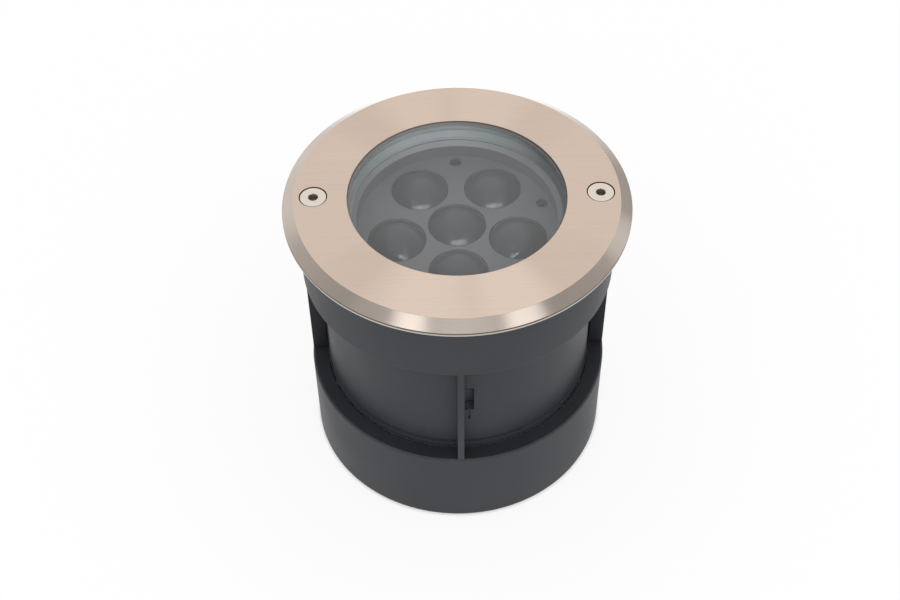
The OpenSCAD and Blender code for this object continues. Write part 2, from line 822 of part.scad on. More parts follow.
// One LED: square package with a small dome
module led(place) {
    color([0.95, 0.8, 0.3])
        translate(place) {
            block([led_w, led_w, led_h], board_z);
            intersection() {
                translate([0, 0, board_z + led_h])
                    sphere(d = led_dome_d, $fn = small_fn);
                bar(led_w, board_z + led_h / 2, led_dome_d);
            }
        }
}

// The outline shared by the board and the pad, with holes for the screws and leads
module board_plate(z, h) {
    difference() {
        bar(board_r, z, h);
        around(mask_screw_angles, mask_screw_r)
            bar(mask_screw_d / 2 + screw_gap, z - over, h + 2 * over);
        lead_hole(z - over, h + 2 * over);
    }
}

// The round metal-core board
module led_board() {
    color([0.9, 0.9, 0.88])
        board_plate(board_z - board_t, board_t);
}

// The soft pad that carries heat from the board to the diaphragm
module thermal_pad() {
    color([0.5, 0.52, 0.55])
        board_plate(pad_z, pad_t);
}

// The small connector over the lead hole
module board_connector() {
    color([0.93, 0.92, 0.88])
        rotate([0, 0, lead_hole_angle])
            translate([lead_hole_r, 0, 0])
                block([plug_w, plug_l, plug_h], board_z);
}

// Two leads from the driver up to the connector
module led_leads() {
    color([0.7, 0.1, 0.08])
        rotate([0, 0, lead_hole_angle])
            for (side = [-1, 1])
                translate([lead_hole_r, side * led_lead_pitch / 2, 0])
                    bar(led_lead_d / 2, diaphragm_z, board_z - diaphragm_z);
}

// Places of the two driver screws
module driver_screw_places() {
    for (side = [-1, 1])
        translate([driver_x + side * (driver_l + ear_l) / 2, side * ear_y, 0])
            children();
}

// The potted driver with two ears, hung under the diaphragm
module driver_module() {
    ear_hole_r = small_screw_d / 2 + screw_gap;
    color([0.16, 0.17, 0.19])
        difference() {
            union() {
                translate([driver_x, 0, diaphragm_z - driver_h])
                    rounded_block([driver_l, driver_w, driver_h], driver_round);
                driver_screw_places()
                    block([ear_l + 2 * ear_t, ear_w, ear_t], diaphragm_z - ear_t);
            }
            driver_screw_places()
                bar(ear_hole_r, diaphragm_z - ear_t - over, ear_t + 2 * over);
        }
}

// A block with upright edges rounded
module rounded_block(size, round_r) {
    linear_extrude(size[2])
        union() {
            square([size[0] - 2 * round_r, size[1]], center = true);
            square([size[0], size[1] - 2 * round_r], center = true);
            for (x = [-1, 1], y = [-1, 1])
                translate([x * (size[0] / 2 - round_r), y * (size[1] / 2 - round_r)])
                    circle(r = round_r, $fn = small_fn);
        }
}

// The screws in the driver ears
module driver_screws() {
    color([0.6, 0.6, 0.6])
        driver_screw_places()
            hung_screw(ear_t);
}

// A screw hung from the diaphragm through a piece of thickness grip
module hung_screw(grip) {
    head_z = diaphragm_z - grip - small_head_h;
    difference() {
        union() {
            bar(small_head_d / 2, head_z, small_head_h);
            bar(small_screw_d / 2, head_z, small_head_h + grip + small_screw_bite - screw_gap);
        }
        hexagon(small_screw_d * socket_share, head_z - over, small_head_h / 2 + over);
    }
}

// The terminal block with its wire entries and the screw hole through it
module terminal_block() {
    color([0.9, 0.88, 0.82])
        translate([terminal_x, 0, 0])
            difference() {
                block([terminal_w, terminal_l, terminal_h], diaphragm_z - terminal_h);
                for (side = [-1, 1])
                    translate([0, side * lead_pitch, lead_z])
                        rotate([0, 90, 0])
                            bar(terminal_hole_d / 2, -terminal_w / 2 - over, terminal_w + 2 * over);
                bar(small_screw_d / 2 + screw_gap, diaphragm_z - terminal_h - over, terminal_h + 2 * over);
            }
}

// The screw through the terminal block
module terminal_screw() {
    color([0.6, 0.6, 0.6])
        translate([terminal_x, 0, 0])
            hung_screw(terminal_h);
}

// Two supply leads from the terminal block to the driver and the earth lead to its tag
module supply_leads() {
    lead_r = lead_d / 2;
    lead_l = terminal_gap + terminal_w / 2;
    crimp_end_y = earth_y - earth_boss_d / 2 - crimp_l;
    color([0.15, 0.2, 0.55])
        for (side = [-1, 1])
            translate([driver_end_x, side * lead_pitch, lead_z])
                rotate([0, 90, 0])
                    bar(lead_r, 0, lead_l);
    color([0.3, 0.6, 0.2])
        translate([terminal_x, terminal_l / 2, tag_z + crimp_d / 2])
            rotate([-90, 0, 0])
                bar(lead_r, 0, crimp_end_y - terminal_l / 2);
}

// The earth screw in its boss
module earth_screw() {
    color([0.75, 0.6, 0.3])
        translate([terminal_x, earth_y, 0])
            hung_screw(earth_boss_h + tag_t);
}

// The ring tag under the earth screw with its crimp
module earth_tag() {
    color([0.8, 0.8, 0.78])
        translate([terminal_x, earth_y, 0]) {
            difference() {
                union() {
                    bar(earth_boss_d / 2, tag_z, tag_t);
                    translate([0, -earth_boss_d / 2 - crimp_l, tag_z + crimp_d / 2])
                        rotate([-90, 0, 0])
                            bar(crimp_d / 2, 0, crimp_l);
                    translate([-crimp_d / 2, -earth_boss_d / 2 - crimp_l / 2, tag_z])
                        cube([crimp_d, crimp_l, tag_t]);
                }
                bar(small_screw_d / 2 + screw_gap, tag_z - over, tag_t + 2 * over);
                bar(earth_boss_d / 2 - tag_t / 2, tag_z + tag_t, crimp_d);
            }
        }
}

// The base cap with its rounded edge, screw places and gland hole
module base_cap() {
    cap_r = can_r + cap_lip;
    gland_hole_r = gland_d / 2 + screw_gap;
    color([0.12, 0.12, 0.13])
        difference() {
            union() {
                bar(cap_r, cap_z + cap_round, cap_t - cap_round);
                bar(cap_r - cap_round, cap_z, cap_t);
                translate([0, 0, cap_z + cap_round])
                    rotate_extrude()
                        translate([cap_r - cap_round, 0])
                            circle(r = cap_round, $fn = small_fn);
            }
            around(base_screw_angles, boss_r) {
                bar(base_screw_d / 2 + screw_gap, cap_z - over, cap_t + 2 * over);
                bar(base_head_d / 2 + screw_gap, cap_z - over, base_head_h + over);
            }
            bar(gland_hole_r, cap_z - over, cap_t + 2 * over);
        }
}

// The flat seal between the base cap and the can
module base_seal() {
    color([0.05, 0.05, 0.05])
        difference() {
            union() {
                washer(can_r - seal_gap, can_r - base_seal_w, cap_z + cap_t, base_seal_t);
                around(base_screw_angles, boss_r)
                    bar(boss_d / 2, cap_z + cap_t, base_seal_t);
            }
            around(base_screw_angles, boss_r)
                bar(base_screw_d / 2 + screw_gap, cap_z, cap_t + base_seal_t + over);
        }
}

// The four screws that hold the base cap
module base_screws() {
    color([0.7, 0.7, 0.7])
        around(base_screw_angles, boss_r)
            difference() {
                union() {
                    bar(base_head_d / 2, cap_z, base_head_h);
                    bar(base_screw_d / 2, cap_z, base_head_h + base_screw_l);
                }
                hexagon(base_screw_d * socket_share, cap_z - over, base_head_h / 2 + over);
            }
}

// The gland body: thread through the cap, hexagon and neck, bored for the cable
module gland_body() {
    thread_r = gland_d / 2;
    top_z = cap_z + cap_t + locknut_h;
    foot_z = gland_hex_z - gland_neck_h;
    color([0.1, 0.1, 0.1])
        difference() {
            union() {
                hexagon(gland_af, gland_hex_z, gland_hex_h);
                bar(thread_r, gland_hex_z, top_z - gland_hex_z);
                bar(thread_r - screw_gap, foot_z, gland_neck_h);
            }
            bar(gland_bore_d / 2, foot_z - over, top_z - foot_z + 2 * over);
        }
}

// The flat washer between the gland and the base cap
module gland_washer() {
    color([0.05, 0.05, 0.05])
        washer(gland_af / 2, gland_d / 2 + seal_gap, cap_z - washer_t, washer_t);
}

// The nut that holds the gland inside the can
module gland_locknut() {
    color([0.1, 0.1, 0.1])
        difference() {
            hexagon(gland_af, cap_z + cap_t, locknut_h);
            bar(gland_d / 2 + thread_gap, cap_z + cap_t - over, locknut_h + 2 * over);
        }
}

// The rubber insert that grips the cable
module gland_insert() {
    foot_z = gland_hex_z - gland_neck_h;
    color([0.06, 0.06, 0.06])
        washer(gland_bore_d / 2 - seal_gap, cable_d / 2, foot_z, gland_neck_h + gland_hex_h);
}

// The clamping nut: hexagon, then a rounded nose with the cable hole
module gland_nut() {
    nose_r = gland_af / 2 - gland_hex_h / 2;
    hole_r = cable_d / 2;
    bore_top_z = gland_hex_z - screw_gap;
    bore_foot_z = gland_hex_z - gland_neck_h - screw_gap;
    hex_h = gland_clamp_h - gland_hex_h - screw_gap;
    color([0.1, 0.1, 0.1])
        difference() {
            union() {
                hexagon(gland_af, bore_top_z - hex_h, hex_h);
                translate([0, 0, gland_nut_z])
                    cylinder(r1 = hole_r + gland_hex_h / 2, r2 = nose_r, h = gland_hex_h);
            }
            bar(gland_d / 2 + thread_gap, bore_foot_z, gland_neck_h + over);
            bar(hole_r, gland_nut_z - over, gland_clamp_h);
        }
}

sleeve_collar();
sleeve_webs();
sleeve_foot_ring();
conduit_bush(conduit_angle);  // conduit_bush_right
conduit_bush(180 - conduit_angle);  // conduit_bush_left
face_ring();
face_screws();
thread_inserts();
rim_seal();
glass_bead();
glass_disc();
glass_seal();
lamp_body();
lens_mask();
mask_screws();
mask_spacers();
for (i = [1:LENS_COUNT]) lens(lens_places[i - 1]);
for (i = [1:LENS_COUNT])
    lens_holder(lens_places[i - 1]);
for (i = [1:LENS_COUNT]) led(lens_places[i - 1]);
led_board();
thermal_pad();
board_connector();
led_leads();
driver_module();
driver_screws();
terminal_block();
terminal_screw();
supply_leads();
earth_screw();
earth_tag();
base_cap();
base_seal();
base_screws();
gland_body();
gland_washer();
gland_locknut();
gland_insert();
gland_nut();
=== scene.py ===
"""Looks for an in ground well light: brushed face ring, thick glass, six lenses, dark can and sleeve."""

import math

import bmesh
import bpy
from bpy.props import FloatProperty, FloatVectorProperty, PointerProperty
from bpy.types import Operator, Panel, PropertyGroup
from mathutils import Matrix, Vector


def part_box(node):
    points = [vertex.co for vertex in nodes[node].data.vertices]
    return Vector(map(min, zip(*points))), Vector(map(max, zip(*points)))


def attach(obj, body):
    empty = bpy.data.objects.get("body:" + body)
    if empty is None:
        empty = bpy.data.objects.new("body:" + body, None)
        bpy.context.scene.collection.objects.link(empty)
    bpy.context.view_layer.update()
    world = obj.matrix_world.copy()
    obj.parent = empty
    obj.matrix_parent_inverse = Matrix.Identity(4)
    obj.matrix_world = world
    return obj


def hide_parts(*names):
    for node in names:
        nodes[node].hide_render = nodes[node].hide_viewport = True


bl_info = {
    "name": "In Ground Well Light",
    "version": (1, 0, 0),
    "blender": (4, 5, 0),
    "location": "View3D > Sidebar > Well Light",
    "description": "Builds the finishes and fine shapes of an in ground well light round its fixed frame",
    "category": "Object",
}

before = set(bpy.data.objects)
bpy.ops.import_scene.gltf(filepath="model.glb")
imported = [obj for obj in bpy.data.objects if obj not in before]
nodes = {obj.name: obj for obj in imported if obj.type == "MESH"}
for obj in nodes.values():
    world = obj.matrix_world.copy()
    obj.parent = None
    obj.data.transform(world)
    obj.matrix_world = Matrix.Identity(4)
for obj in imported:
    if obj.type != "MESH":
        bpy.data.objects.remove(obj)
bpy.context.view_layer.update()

# Heights of the frame's parts in millimetres, and of the mask's rim in metres, as the materials use it
MM = 0.001
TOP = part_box("face_ring")[1].z / MM
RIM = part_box("face_ring")[0].z / MM
SLEEVE_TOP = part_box("sleeve_collar")[1].z / MM
MASK_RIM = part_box("lens_mask")[1].z
LAMP, SLEEVE = "lamp", "sleeve"


# Helpers for meshes, in millimetres, and for pieces

ARC_STEPS = 4
SUPPORT_SHARE = 0.4
ON_AXIS = 1e-6
SHARP = math.radians(35)
BOX_EDGE_STEPS = 3


def rounded_outline(corners):
    """Rounds an outline of (radius, height, rounding) corners.

    Each rounded corner becomes an arc with a support point on each side."""
    points = []
    for i, (x, y, r) in enumerate(corners):
        p = Vector((x, y))
        to_a = (Vector(corners[i - 1][:2]) - p).normalized()
        to_b = (Vector(corners[(i + 1) % len(corners)][:2]) - p).normalized()
        if r <= 0:
            points.append(p)
            continue
        half = to_a.angle(to_b) / 2
        reach = r / math.tan(half)
        centre = p + (to_a + to_b).normalized() * (r / math.sin(half))
        first, last = p + to_a * reach - centre, p + to_b * reach - centre
        points.append(centre + first + to_a * r * SUPPORT_SHARE)
        for k in range(ARC_STEPS + 1):
            points.append(centre + first.slerp(last, k / ARC_STEPS).normalized() * r)
        points.append(centre + last + to_b * r * SUPPORT_SHARE)
    return points


def new_object(name, bm, sharp=SHARP):
    """Makes an object in metres from a bmesh in millimetres."""
    bmesh.ops.recalc_face_normals(bm, faces=bm.faces)
    mesh = bpy.data.meshes.new(name)
    bm.to_mesh(mesh)
    bm.free()
    mesh.transform(Matrix.Scale(MM, 4))
    mesh.shade_smooth()
    mesh.set_sharp_from_angle(angle=sharp)
    obj = bpy.data.objects.new(name, mesh)
    bpy.context.scene.collection.objects.link(obj)
    return obj


def lathe_into(bm, outline, steps, centre=(0, 0)):
    """Turns a closed outline of (radius, height) points round an upright axis."""
    rings = []
    for r, z in outline:
        if r < ON_AXIS:
            rings.append([bm.verts.new((centre[0], centre[1], z))])
            continue
        rings.append([
            bm.verts.new((
                centre[0] + r * math.cos(2 * math.pi * k / steps),
                centre[1] + r * math.sin(2 * math.pi * k / steps),
                z,
            ))
            for k in range(steps)
        ])
    for i, a in enumerate(rings):
        b = rings[(i + 1) % len(rings)]
        if len(a) == 1 and len(b) == 1:
            continue
        for k in range(steps):
            n = (k + 1) % steps
            if len(a) == 1:
                bm.faces.new((a[0], b[k], b[n]))
            elif len(b) == 1:
                bm.faces.new((a[k], b[0], a[n]))
            else:
                bm.faces.new((a[k], b[k], b[n], a[n]))


def lathe(name, corners, steps):
    """A turned piece from its corners."""
    bm = bmesh.new()
    lathe_into(bm, rounded_outline(corners), steps)
    return new_object(name, bm)


def prism(name, points, low_z, high_z):
    """An upright prism over a flat outline, used as a cutter."""
    bm = bmesh.new()
    low = [bm.verts.new((x, y, low_z)) for x, y in points]
    high = [bm.verts.new((x, y, high_z)) for x, y in points]
    bm.faces.new(low)
    bm.faces.new(high)
    for k in range(len(points)):
        n = (k + 1) % len(points)
        bm.faces.new((low[k], low[n], high[n], high[k]))
    return new_object(name, bm)


def cut(obj, *cutters):
    """Takes the cutters out of the piece and drops them."""
    for c in cutters:
        mod = obj.modifiers.new("cut", "BOOLEAN")
        mod.operation, mod.solver, mod.object = "DIFFERENCE", "EXACT", c
    bpy.context.view_layer.update()
    mesh = bpy.data.meshes.new_from_object(obj.evaluated_get(bpy.context.evaluated_depsgraph_get()))
    obj.modifiers.clear()
    old, obj.data = obj.data, mesh
    bpy.data.meshes.remove(old)
    for c in cutters:
        drop(c)
    obj.data.shade_smooth()
    obj.data.set_sharp_from_angle(angle=SHARP)


def drop(obj):
    """Removes an object with its mesh."""
    mesh = obj.data
    bpy.data.objects.remove(obj)
    bpy.data.meshes.remove(mesh)


def bevelled_box(bm, low, high, width, turn):
    """A block with all its edges rounded, turned about Z."""
    made = bmesh.ops.create_cube(bm, size=1)["verts"]
    for v in made:
        v.co = Vector(low[i] + (high[i] - low[i]) * (v.co[i] + 0.5) for i in range(3))
    edges = {e for v in made for e in v.link_edges}
    out = bmesh.ops.bevel(
        bm, geom=list(edges), offset=width, segments=BOX_EDGE_STEPS, profile=0.5, affect="EDGES")
    verts = {v for f in out["faces"] for v in f.verts} | {v for v in made if v.is_valid}
    bmesh.ops.rotate(bm, verts=list(verts), cent=(0, 0, 0), matrix=Matrix.Rotation(turn, 3, "Z"))


def dress(obj, material, body=None, stands_for=()):
    """Gives a piece its finish and, for a new piece, its body, and hides the frame nodes it stands for."""
    obj.data.materials.clear()
    obj.data.materials.append(material)
    if body:
        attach(obj, body)
    if stands_for:
        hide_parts(*stands_for)
    return obj


def dress_nodes(finishes):
    """Gives frame nodes their finishes, by name."""
    for node, finish in finishes.items():
        dress(nodes[node], looks()[finish])


def direction(azimuth, height=0):
    """A unit vector from degrees round from the front and degrees above level."""
    a, e = math.radians(azimuth), math.radians(height)
    return Vector((math.sin(a) * math.cos(e), -math.cos(a) * math.cos(e), math.sin(e)))


# Shader helpers


class Web:
    """A short way to place and join shader nodes."""

    def __init__(self, tree):
        self.tree = tree

    def add(self, kind, inputs=None, **settings):
        n = self.tree.nodes.new(kind)
        for k, v in settings.items():
            setattr(n, k, v)
        for k, v in (inputs or {}).items():
            self.put(n.inputs[k], v)
        return n

    def put(self, socket, value):
        if isinstance(value, bpy.types.NodeSocket):
            self.tree.links.new(value, socket)
        elif isinstance(value, bpy.types.Node):
            self.tree.links.new(value.outputs[0], socket)
        else:
            socket.default_value = value

    def math(self, op, a, b=0.0, clamp=False):
        return self.add("ShaderNodeMath", {0: a, 1: b}, operation=op, use_clamp=clamp).outputs[0]

    def span(self, value, low, high, to_low, to_high):
        """Maps low..high to to_low..to_high and holds the ends."""
        ends = {"From Min": low, "From Max": high, "To Min": to_low, "To Max": to_high}
        return self.add("ShaderNodeMapRange", {"Value": value, **ends}).outputs["Result"]

    def cone(self, cosine, inner, outer, amount):
        """Gives the amount inside the inner half angle, fading to nothing at the outer one, in degrees."""
        ends = {"From Min": math.cos(math.radians(outer)), "From Max": math.cos(math.radians(inner)),
                "To Min": 0.0, "To Max": amount}
        n = self.add("ShaderNodeMapRange", {"Value": cosine, **ends}, interpolation_type="SMOOTHSTEP")
        return n.outputs["Result"]

    def mix(self, factor, a, b):
        """Mixes two colours."""
        return self.add("ShaderNodeMix", {0: factor, 6: a, 7: b}, data_type="RGBA").outputs[2]

    def blend(self, factor, a, b):
        """Mixes two shaders."""
        return self.add("ShaderNodeMixShader", {0: factor, 1: a, 2: b})

    def scaled(self, colour, level):
        return self.add("ShaderNodeVectorMath", {0: colour, "Scale": level}, operation="SCALE").outputs[0]

    def dot(self, a, b):
        return self.add("ShaderNodeVectorMath", {0: a, 1: b}, operation="DOT_PRODUCT").outputs["Value"]

    def length(self, vector):
        return self.add("ShaderNodeVectorMath", {0: vector}, operation="LENGTH").outputs["Value"]

    def noise(self, vector, scale, detail=2.0, rough=0.5):
        settings = {"Vector": vector, "Scale": scale, "Detail": detail, "Roughness": rough}
        return self.add("ShaderNodeTexNoise", settings).outputs["Fac"]

    def place(self, scale=(1, 1, 1)):
        coord = self.add("ShaderNodeTexCoord")
        return self.add("ShaderNodeMapping", {"Vector": coord.outputs["Object"], "Scale": scale}).outputs[0]

    def flat_place(self):
        """The place as X, Y and Z sockets, and the same place seen from the Z axis."""
        xyz = self.add("ShaderNodeSeparateXYZ", {"Vector": self.place()}).outputs
        return xyz, self.add("ShaderNodeCombineXYZ", {"X": xyz[0], "Y": xyz[1]})


def rgba(colour):
    return (*colour, 1.0) if len(colour) == 3 else tuple(colour)


def scaled_rgba(colour, factor, lift=0.0):
    """A colour made lighter or darker, with no channel above 1."""
    return rgba([min(1.0, c * factor + lift) for c in colour])


def new_group(name, ins, outs):
    """A shader node group with named sockets. Returns the group, its web and its two ends."""
    tree = bpy.data.node_groups.new(name, "ShaderNodeTree")
    for label, value in ins:
        s = tree.interface.new_socket(name=label, in_out="INPUT", socket_type="NodeSocketFloat")
        s.default_value = value
    for label in outs:
        tree.interface.new_socket(name=label, in_out="OUTPUT", socket_type="NodeSocketFloat")
    w = Web(tree)
    return tree, w, w.add("NodeGroupInput").outputs, w.add("NodeGroupOutput").inputs


def group_moulded_grain():
    """Fine moulding grain, slow colour drift and scuffs."""
    tree, w, given, out = new_group(
        "Moulded Grain", [("Grain Scale", 1500.0), ("Drift Scale", 25.0)], ["Height", "Drift", "Scuffs"])
    at = w.place()
    streak = w.noise(w.place(scale=(1.0, 1.0, 0.12)), 420.0, 2.0, 0.6)
    patch = w.noise(at, 60.0, 2.0, 0.5)
    scuffs = w.math("MULTIPLY", w.span(streak, 0.62, 0.74, 0, 1), w.span(patch, 0.5, 0.62, 0, 1), clamp=True)
    w.put(out["Height"], w.noise(at, given["Grain Scale"], 3.0, 0.55))
    w.put(out["Drift"], w.noise(at, given["Drift Scale"], 3.0, 0.6))
    w.put(out["Scuffs"], scuffs)
    return tree


def group_straight_brushing():
    """Long fine scratches along X: height and a light and dark streak."""
    tree, w, given, out = new_group("Straight Brushing", [("Lines", 4200.0)], ["Height", "Streak"])
    fine = w.noise(w.place(scale=(0.012, 1.0, 0.3)), given["Lines"], 2.0, 0.7)
    broad = w.noise(w.place(scale=(0.006, 1.0, 0.3)), w.math("MULTIPLY", given["Lines"], 0.5), 2.0, 0.6)
    w.put(out["Height"], w.math("ADD", w.math("MULTIPLY", fine, 0.7), w.math("MULTIPLY", broad, 0.3)))
    w.put(out["Streak"], broad)
    return tree


def group_turned_lines():
    """Fine rings round the Z axis, as a lathe leaves them: height and streak."""
    tree, w, given, out = new_group("Turned Lines", [("Lines", 9000.0)], ["Height", "Streak"])
    xyz, flat = w.flat_place()
    run = w.add("ShaderNodeCombineXYZ", {"X": w.math("ADD", w.length(flat), w.math("MULTIPLY", xyz[2], 0.8))})
    rings = w.noise(run, given["Lines"])
    along = w.noise(w.place(), 260.0, 2.0, 0.6)
    w.put(out["Height"], rings)
    w.put(out["Streak"], w.math("ADD", w.math("MULTIPLY", rings, 0.7), w.math("MULTIPLY", along, 0.3)))
    return tree


def group_handling_dust():
    """A mask of pale dust that settles in patches on faces that look up."""
    tree, w, given, out = new_group("Handling Dust", [("Amount", 0.2)], ["Mask"])
    up = w.add("ShaderNodeSeparateXYZ", {"Vector": w.add("ShaderNodeNewGeometry").outputs["Normal"]})
    level = w.span(up.outputs[2], 0.2, 1.0, 0.0, 1.0)
    specks = w.span(w.noise(w.place(), 900.0, 4.0, 0.7), 0.5, 0.72, 0.0, 1.0)
    cloud = w.span(w.noise(w.place(), 45.0, 3.0, 0.6), 0.4, 0.7, 0.0, 1.0)
    dust = w.math("MULTIPLY", w.math("MULTIPLY", specks, cloud), level)
    w.put(out["Mask"], w.math("MULTIPLY", dust, given["Amount"], clamp=True))
    return tree


def material(name, **sockets):
    """A new material with one Principled BSDF. Returns the material, its web and the shader."""
    m = bpy.data.materials.new(name)
    m.use_nodes = True
    shader = m.node_tree.nodes["Principled BSDF"]
    for k, v in sockets.items():
        shader.inputs[k.replace("_", " ")].default_value = v
    return m, Web(m.node_tree), shader


def use(w, group, **values):
    n = w.add("ShaderNodeGroup", node_tree=group)
    for k, v in values.items():
        w.put(n.inputs[k.replace("_", " ")], v)
    return n.outputs


def bump(w, shader, height, distance):
    relief = w.add("ShaderNodeBump", {"Height": height, "Distance": distance, "Strength": 1.0})
    w.put(shader.inputs["Normal"], relief)


def show(m, w, shader):
    """Makes a shader the surface of a material."""
    w.put(m.node_tree.nodes["Material Output"].inputs["Surface"], shader)


# Finishes

ALONG_X, ALONG_Z, OUTWARD = 0, 2, 3


def fade(w, colour, *steps):
    """Scales a colour along X or Z, or outward from the Z axis, between two places in metres.

    Each end of a step is a factor or another step."""
    xyz, flat = w.flat_place()
    away = w.length(flat)

    def level(step):
        along, low, high, *ends = step
        ends = [level(end) if isinstance(end, tuple) else end for end in ends]
        return w.span(away if along == OUTWARD else xyz[along], low, high, *ends)

    for step in steps:
        colour = w.scaled(colour, level(step))
    return colour


def painted_sheen_sectors(w, colour, lobes):
    """Paints sheen into a colour: lighter or darker soft sectors round the Z axis, standing in for the
    reflections that brushed metal shows.

    Each lobe has its azimuth from the front, its inner and outer half width in degrees, and its share."""
    flat = w.flat_place()[1]
    way = w.add("ShaderNodeVectorMath", {0: flat}, operation="NORMALIZE").outputs[0]
    level = 1.0
    for azimuth, inner, outer, share in lobes:
        level = w.math("ADD", w.cone(w.dot(way, direction(azimuth)), inner, outer, share), level)
    return w.scaled(colour, level)


def dark_moulding(name, colour, rough, groups, grain=1500.0, depth=0.00003, dust=0.25, gloss=0.5, toned=()):
    """Plastic or coating with moulding grain, faint scuffs and a little dust."""
    m, w, s = material(name, Specular_IOR_Level=gloss)
    g = use(w, groups["grain"], Grain_Scale=grain)
    d = use(w, groups["dust"], Amount=dust)
    base = w.mix(g["Drift"], scaled_rgba(colour, 0.8), scaled_rgba(colour, 1.35, 0.004))
    scuffed = rgba([c * 2.2 + 0.02 for c in colour])
    base = w.mix(w.math("MULTIPLY", g["Scuffs"], 0.25), base, scuffed)
    base = w.mix(d["Mask"], base, (0.30, 0.29, 0.27, 1))
    w.put(s.inputs["Base Color"], fade(w, base, *toned) if toned else base)
    uneven = w.span(g["Drift"], 0.3, 0.7, rough - 0.05, rough + 0.06)
    w.put(s.inputs["Roughness"], w.math("ADD", uneven, w.math("MULTIPLY", g["Scuffs"], 0.08)))
    bump(w, s, g["Height"], depth)
    return m


def worked_metal(name, colour, rough, group, lines, depth, streak=0.12, toned=(), lobes=()):
    """Metal with straight brushing or turned rings in colour, roughness and relief."""
    m, w, s = material(name, Metallic=1.0)
    g = use(w, group, Lines=lines)
    cloud = w.noise(w.place(), 30.0, 3.0, 0.6)
    lines_seen = w.span(g["Streak"], 0.3, 0.7, 0, 1)
    base = w.mix(lines_seen, scaled_rgba(colour, 1 - streak), scaled_rgba(colour, 1 + streak))
    base = w.mix(w.span(cloud, 0.3, 0.7, 0.0, 0.12), base, scaled_rgba(colour, 0.86))
    # Painted sheen: fixed lighter and darker sectors in place of the brushed metal's reflections
    base = painted_sheen_sectors(w, base, lobes) if lobes else base
    w.put(s.inputs["Base Color"], fade(w, base, *toned) if toned else base)
    w.put(s.inputs["Roughness"], w.span(g["Streak"], 0.25, 0.75, rough - 0.05, rough + 0.07))
    bump(w, s, g["Height"], depth)
    return m


def soft_solid(name, colour, rough, groups, sub=0.0, dust=0.1, toned=()):
    """Rubber or silicone with a soft uneven sheen."""
    m, w, s = material(name, Specular_IOR_Level=0.45, Subsurface_Weight=sub, Subsurface_Scale=1.0,
                       Subsurface_Radius=(0.002, 0.002, 0.002))
    g = use(w, groups["grain"], Grain_Scale=2200.0, Drift_Scale=70.0)
    d = use(w, groups["dust"], Amount=dust)
    base = w.mix(g["Drift"], scaled_rgba(colour, 0.88), scaled_rgba(colour, 1.12))
    base = w.mix(d["Mask"], base, (0.42, 0.41, 0.39, 1))
    w.put(s.inputs["Base Color"], fade(w, base, *toned) if toned else base)
    w.put(s.inputs["Roughness"], w.span(g["Drift"], 0.3, 0.7, rough - 0.06, rough + 0.06))
    bump(w, s, g["Height"], 0.00002)
    return m


def clear_glass(name, colour):
    """Glass that lets lamp light through to what lies under it."""
    m, w, s = material(name, Transmission_Weight=1.0, IOR=1.52, Roughness=0.0)
    s.inputs["Base Color"].default_value = rgba(colour)
    path = w.add("ShaderNodeLightPath").outputs
    seen = w.math("MAXIMUM", path["Is Camera Ray"], path["Is Transmission Ray"])
    through = w.add("ShaderNodeBsdfTransparent", {"Color": scaled_rgba(colour, 0.94)})
    show(m, w, w.blend(seen, through, s))
    return m


def smoked_lens(name, colour, groups):
    """A dark polished lens with faint moulding drift and turned tool marks."""
    m, w, s = material(name, Transmission_Weight=0.1, IOR=1.49, Specular_IOR_Level=0.3)
    g = use(w, groups["grain"], Grain_Scale=2600.0, Drift_Scale=60.0)
    t = use(w, groups["turned"], Lines=5000.0)
    w.put(s.inputs["Base Color"], w.mix(g["Drift"], scaled_rgba(colour, 0.9), scaled_rgba(colour, 1.1)))
    w.put(s.inputs["Roughness"], w.span(g["Drift"], 0.3, 0.7, 0.02, 0.06))
    bump(w, s, t["Height"], 0.0000004)
    return m


# Steps for fade (way, from and to in metres, factor before and after), mostly painted light and shade, and
# the face's sectors of painted sheen

# Can: 2.4 times lighter closer than 63.3 mm to the axis, fading out by 64.3 mm, and painted shade, 0.7, below
# 46.6 mm by the sleeve's shelf, fading out by 48.4 mm
CAN_TONES_AND_PAINTED_SHADE = ((OUTWARD, 0.0633, 0.0643, 2.4, 1.0), (ALONG_Z, 0.0466, 0.0484, 0.7, 1.0))
# Painted light and shade on the mask: its rim ledge up to 1.9 times lighter in the middle and less to the
# left and right, and its floor a little lighter than its wall
MASK_PAINTED_LIGHT = (
    (ALONG_Z, MASK_RIM - 0.0025, MASK_RIM - 0.0017,
     1.0, (ALONG_X, -0.046, -0.034, 1.2, (ALONG_X, 0.008, 0.034, 1.9, 1.1))),
    (ALONG_Z, MASK_RIM - 0.0092, MASK_RIM - 0.006, 1.06, 1.0),
)
# Painted shade on the glass seal, darker to the right and left and near the mask's rim, and painted light,
# 1.45 times lighter, on its outer part
SEAL_PAINTED_LIGHT_AND_SHADE = (
    (ALONG_X, 0.0, 0.042, 1.0, 0.40), (ALONG_X, 0.031, 0.042, 1.0, 0.60),
    (ALONG_X, -0.045, -0.028, 0.68, 1.0), (OUTWARD, 0.0512, 0.0522, 1.0, 1.45),
    (ALONG_Z, MASK_RIM + 0.0003, MASK_RIM + 0.0022, 0.68, 1.04),
)
# Painted shade: the grey bead darkens towards the right
BEAD_PAINTED_SHADE = ((ALONG_X, -0.01, 0.04, 1.0, 0.6),)
# Painted highlight: the lowest part of the ring's upright wall is six times lighter, a bright line under the
# painted shade
EDGE_PAINTED_HIGHLIGHT = ((ALONG_Z, RIM * MM + 0.0009, RIM * MM + 0.0012, 6.0, 1.0),)
# Sectors of painted sheen on the face ring: lighter where reflections fall, darker between them
FACE_PAINTED_SHEEN = (
    (20, 3, 18, 0.13), (-15, 6, 24, 0.12), (165, 4, 20, 0.06), (200, 4, 18, 0.06),
    (48, 5, 20, -0.04), (-40, 5, 20, -0.05), (-140, 4, 18, -0.05), (140, 4, 18, -0.03),
)


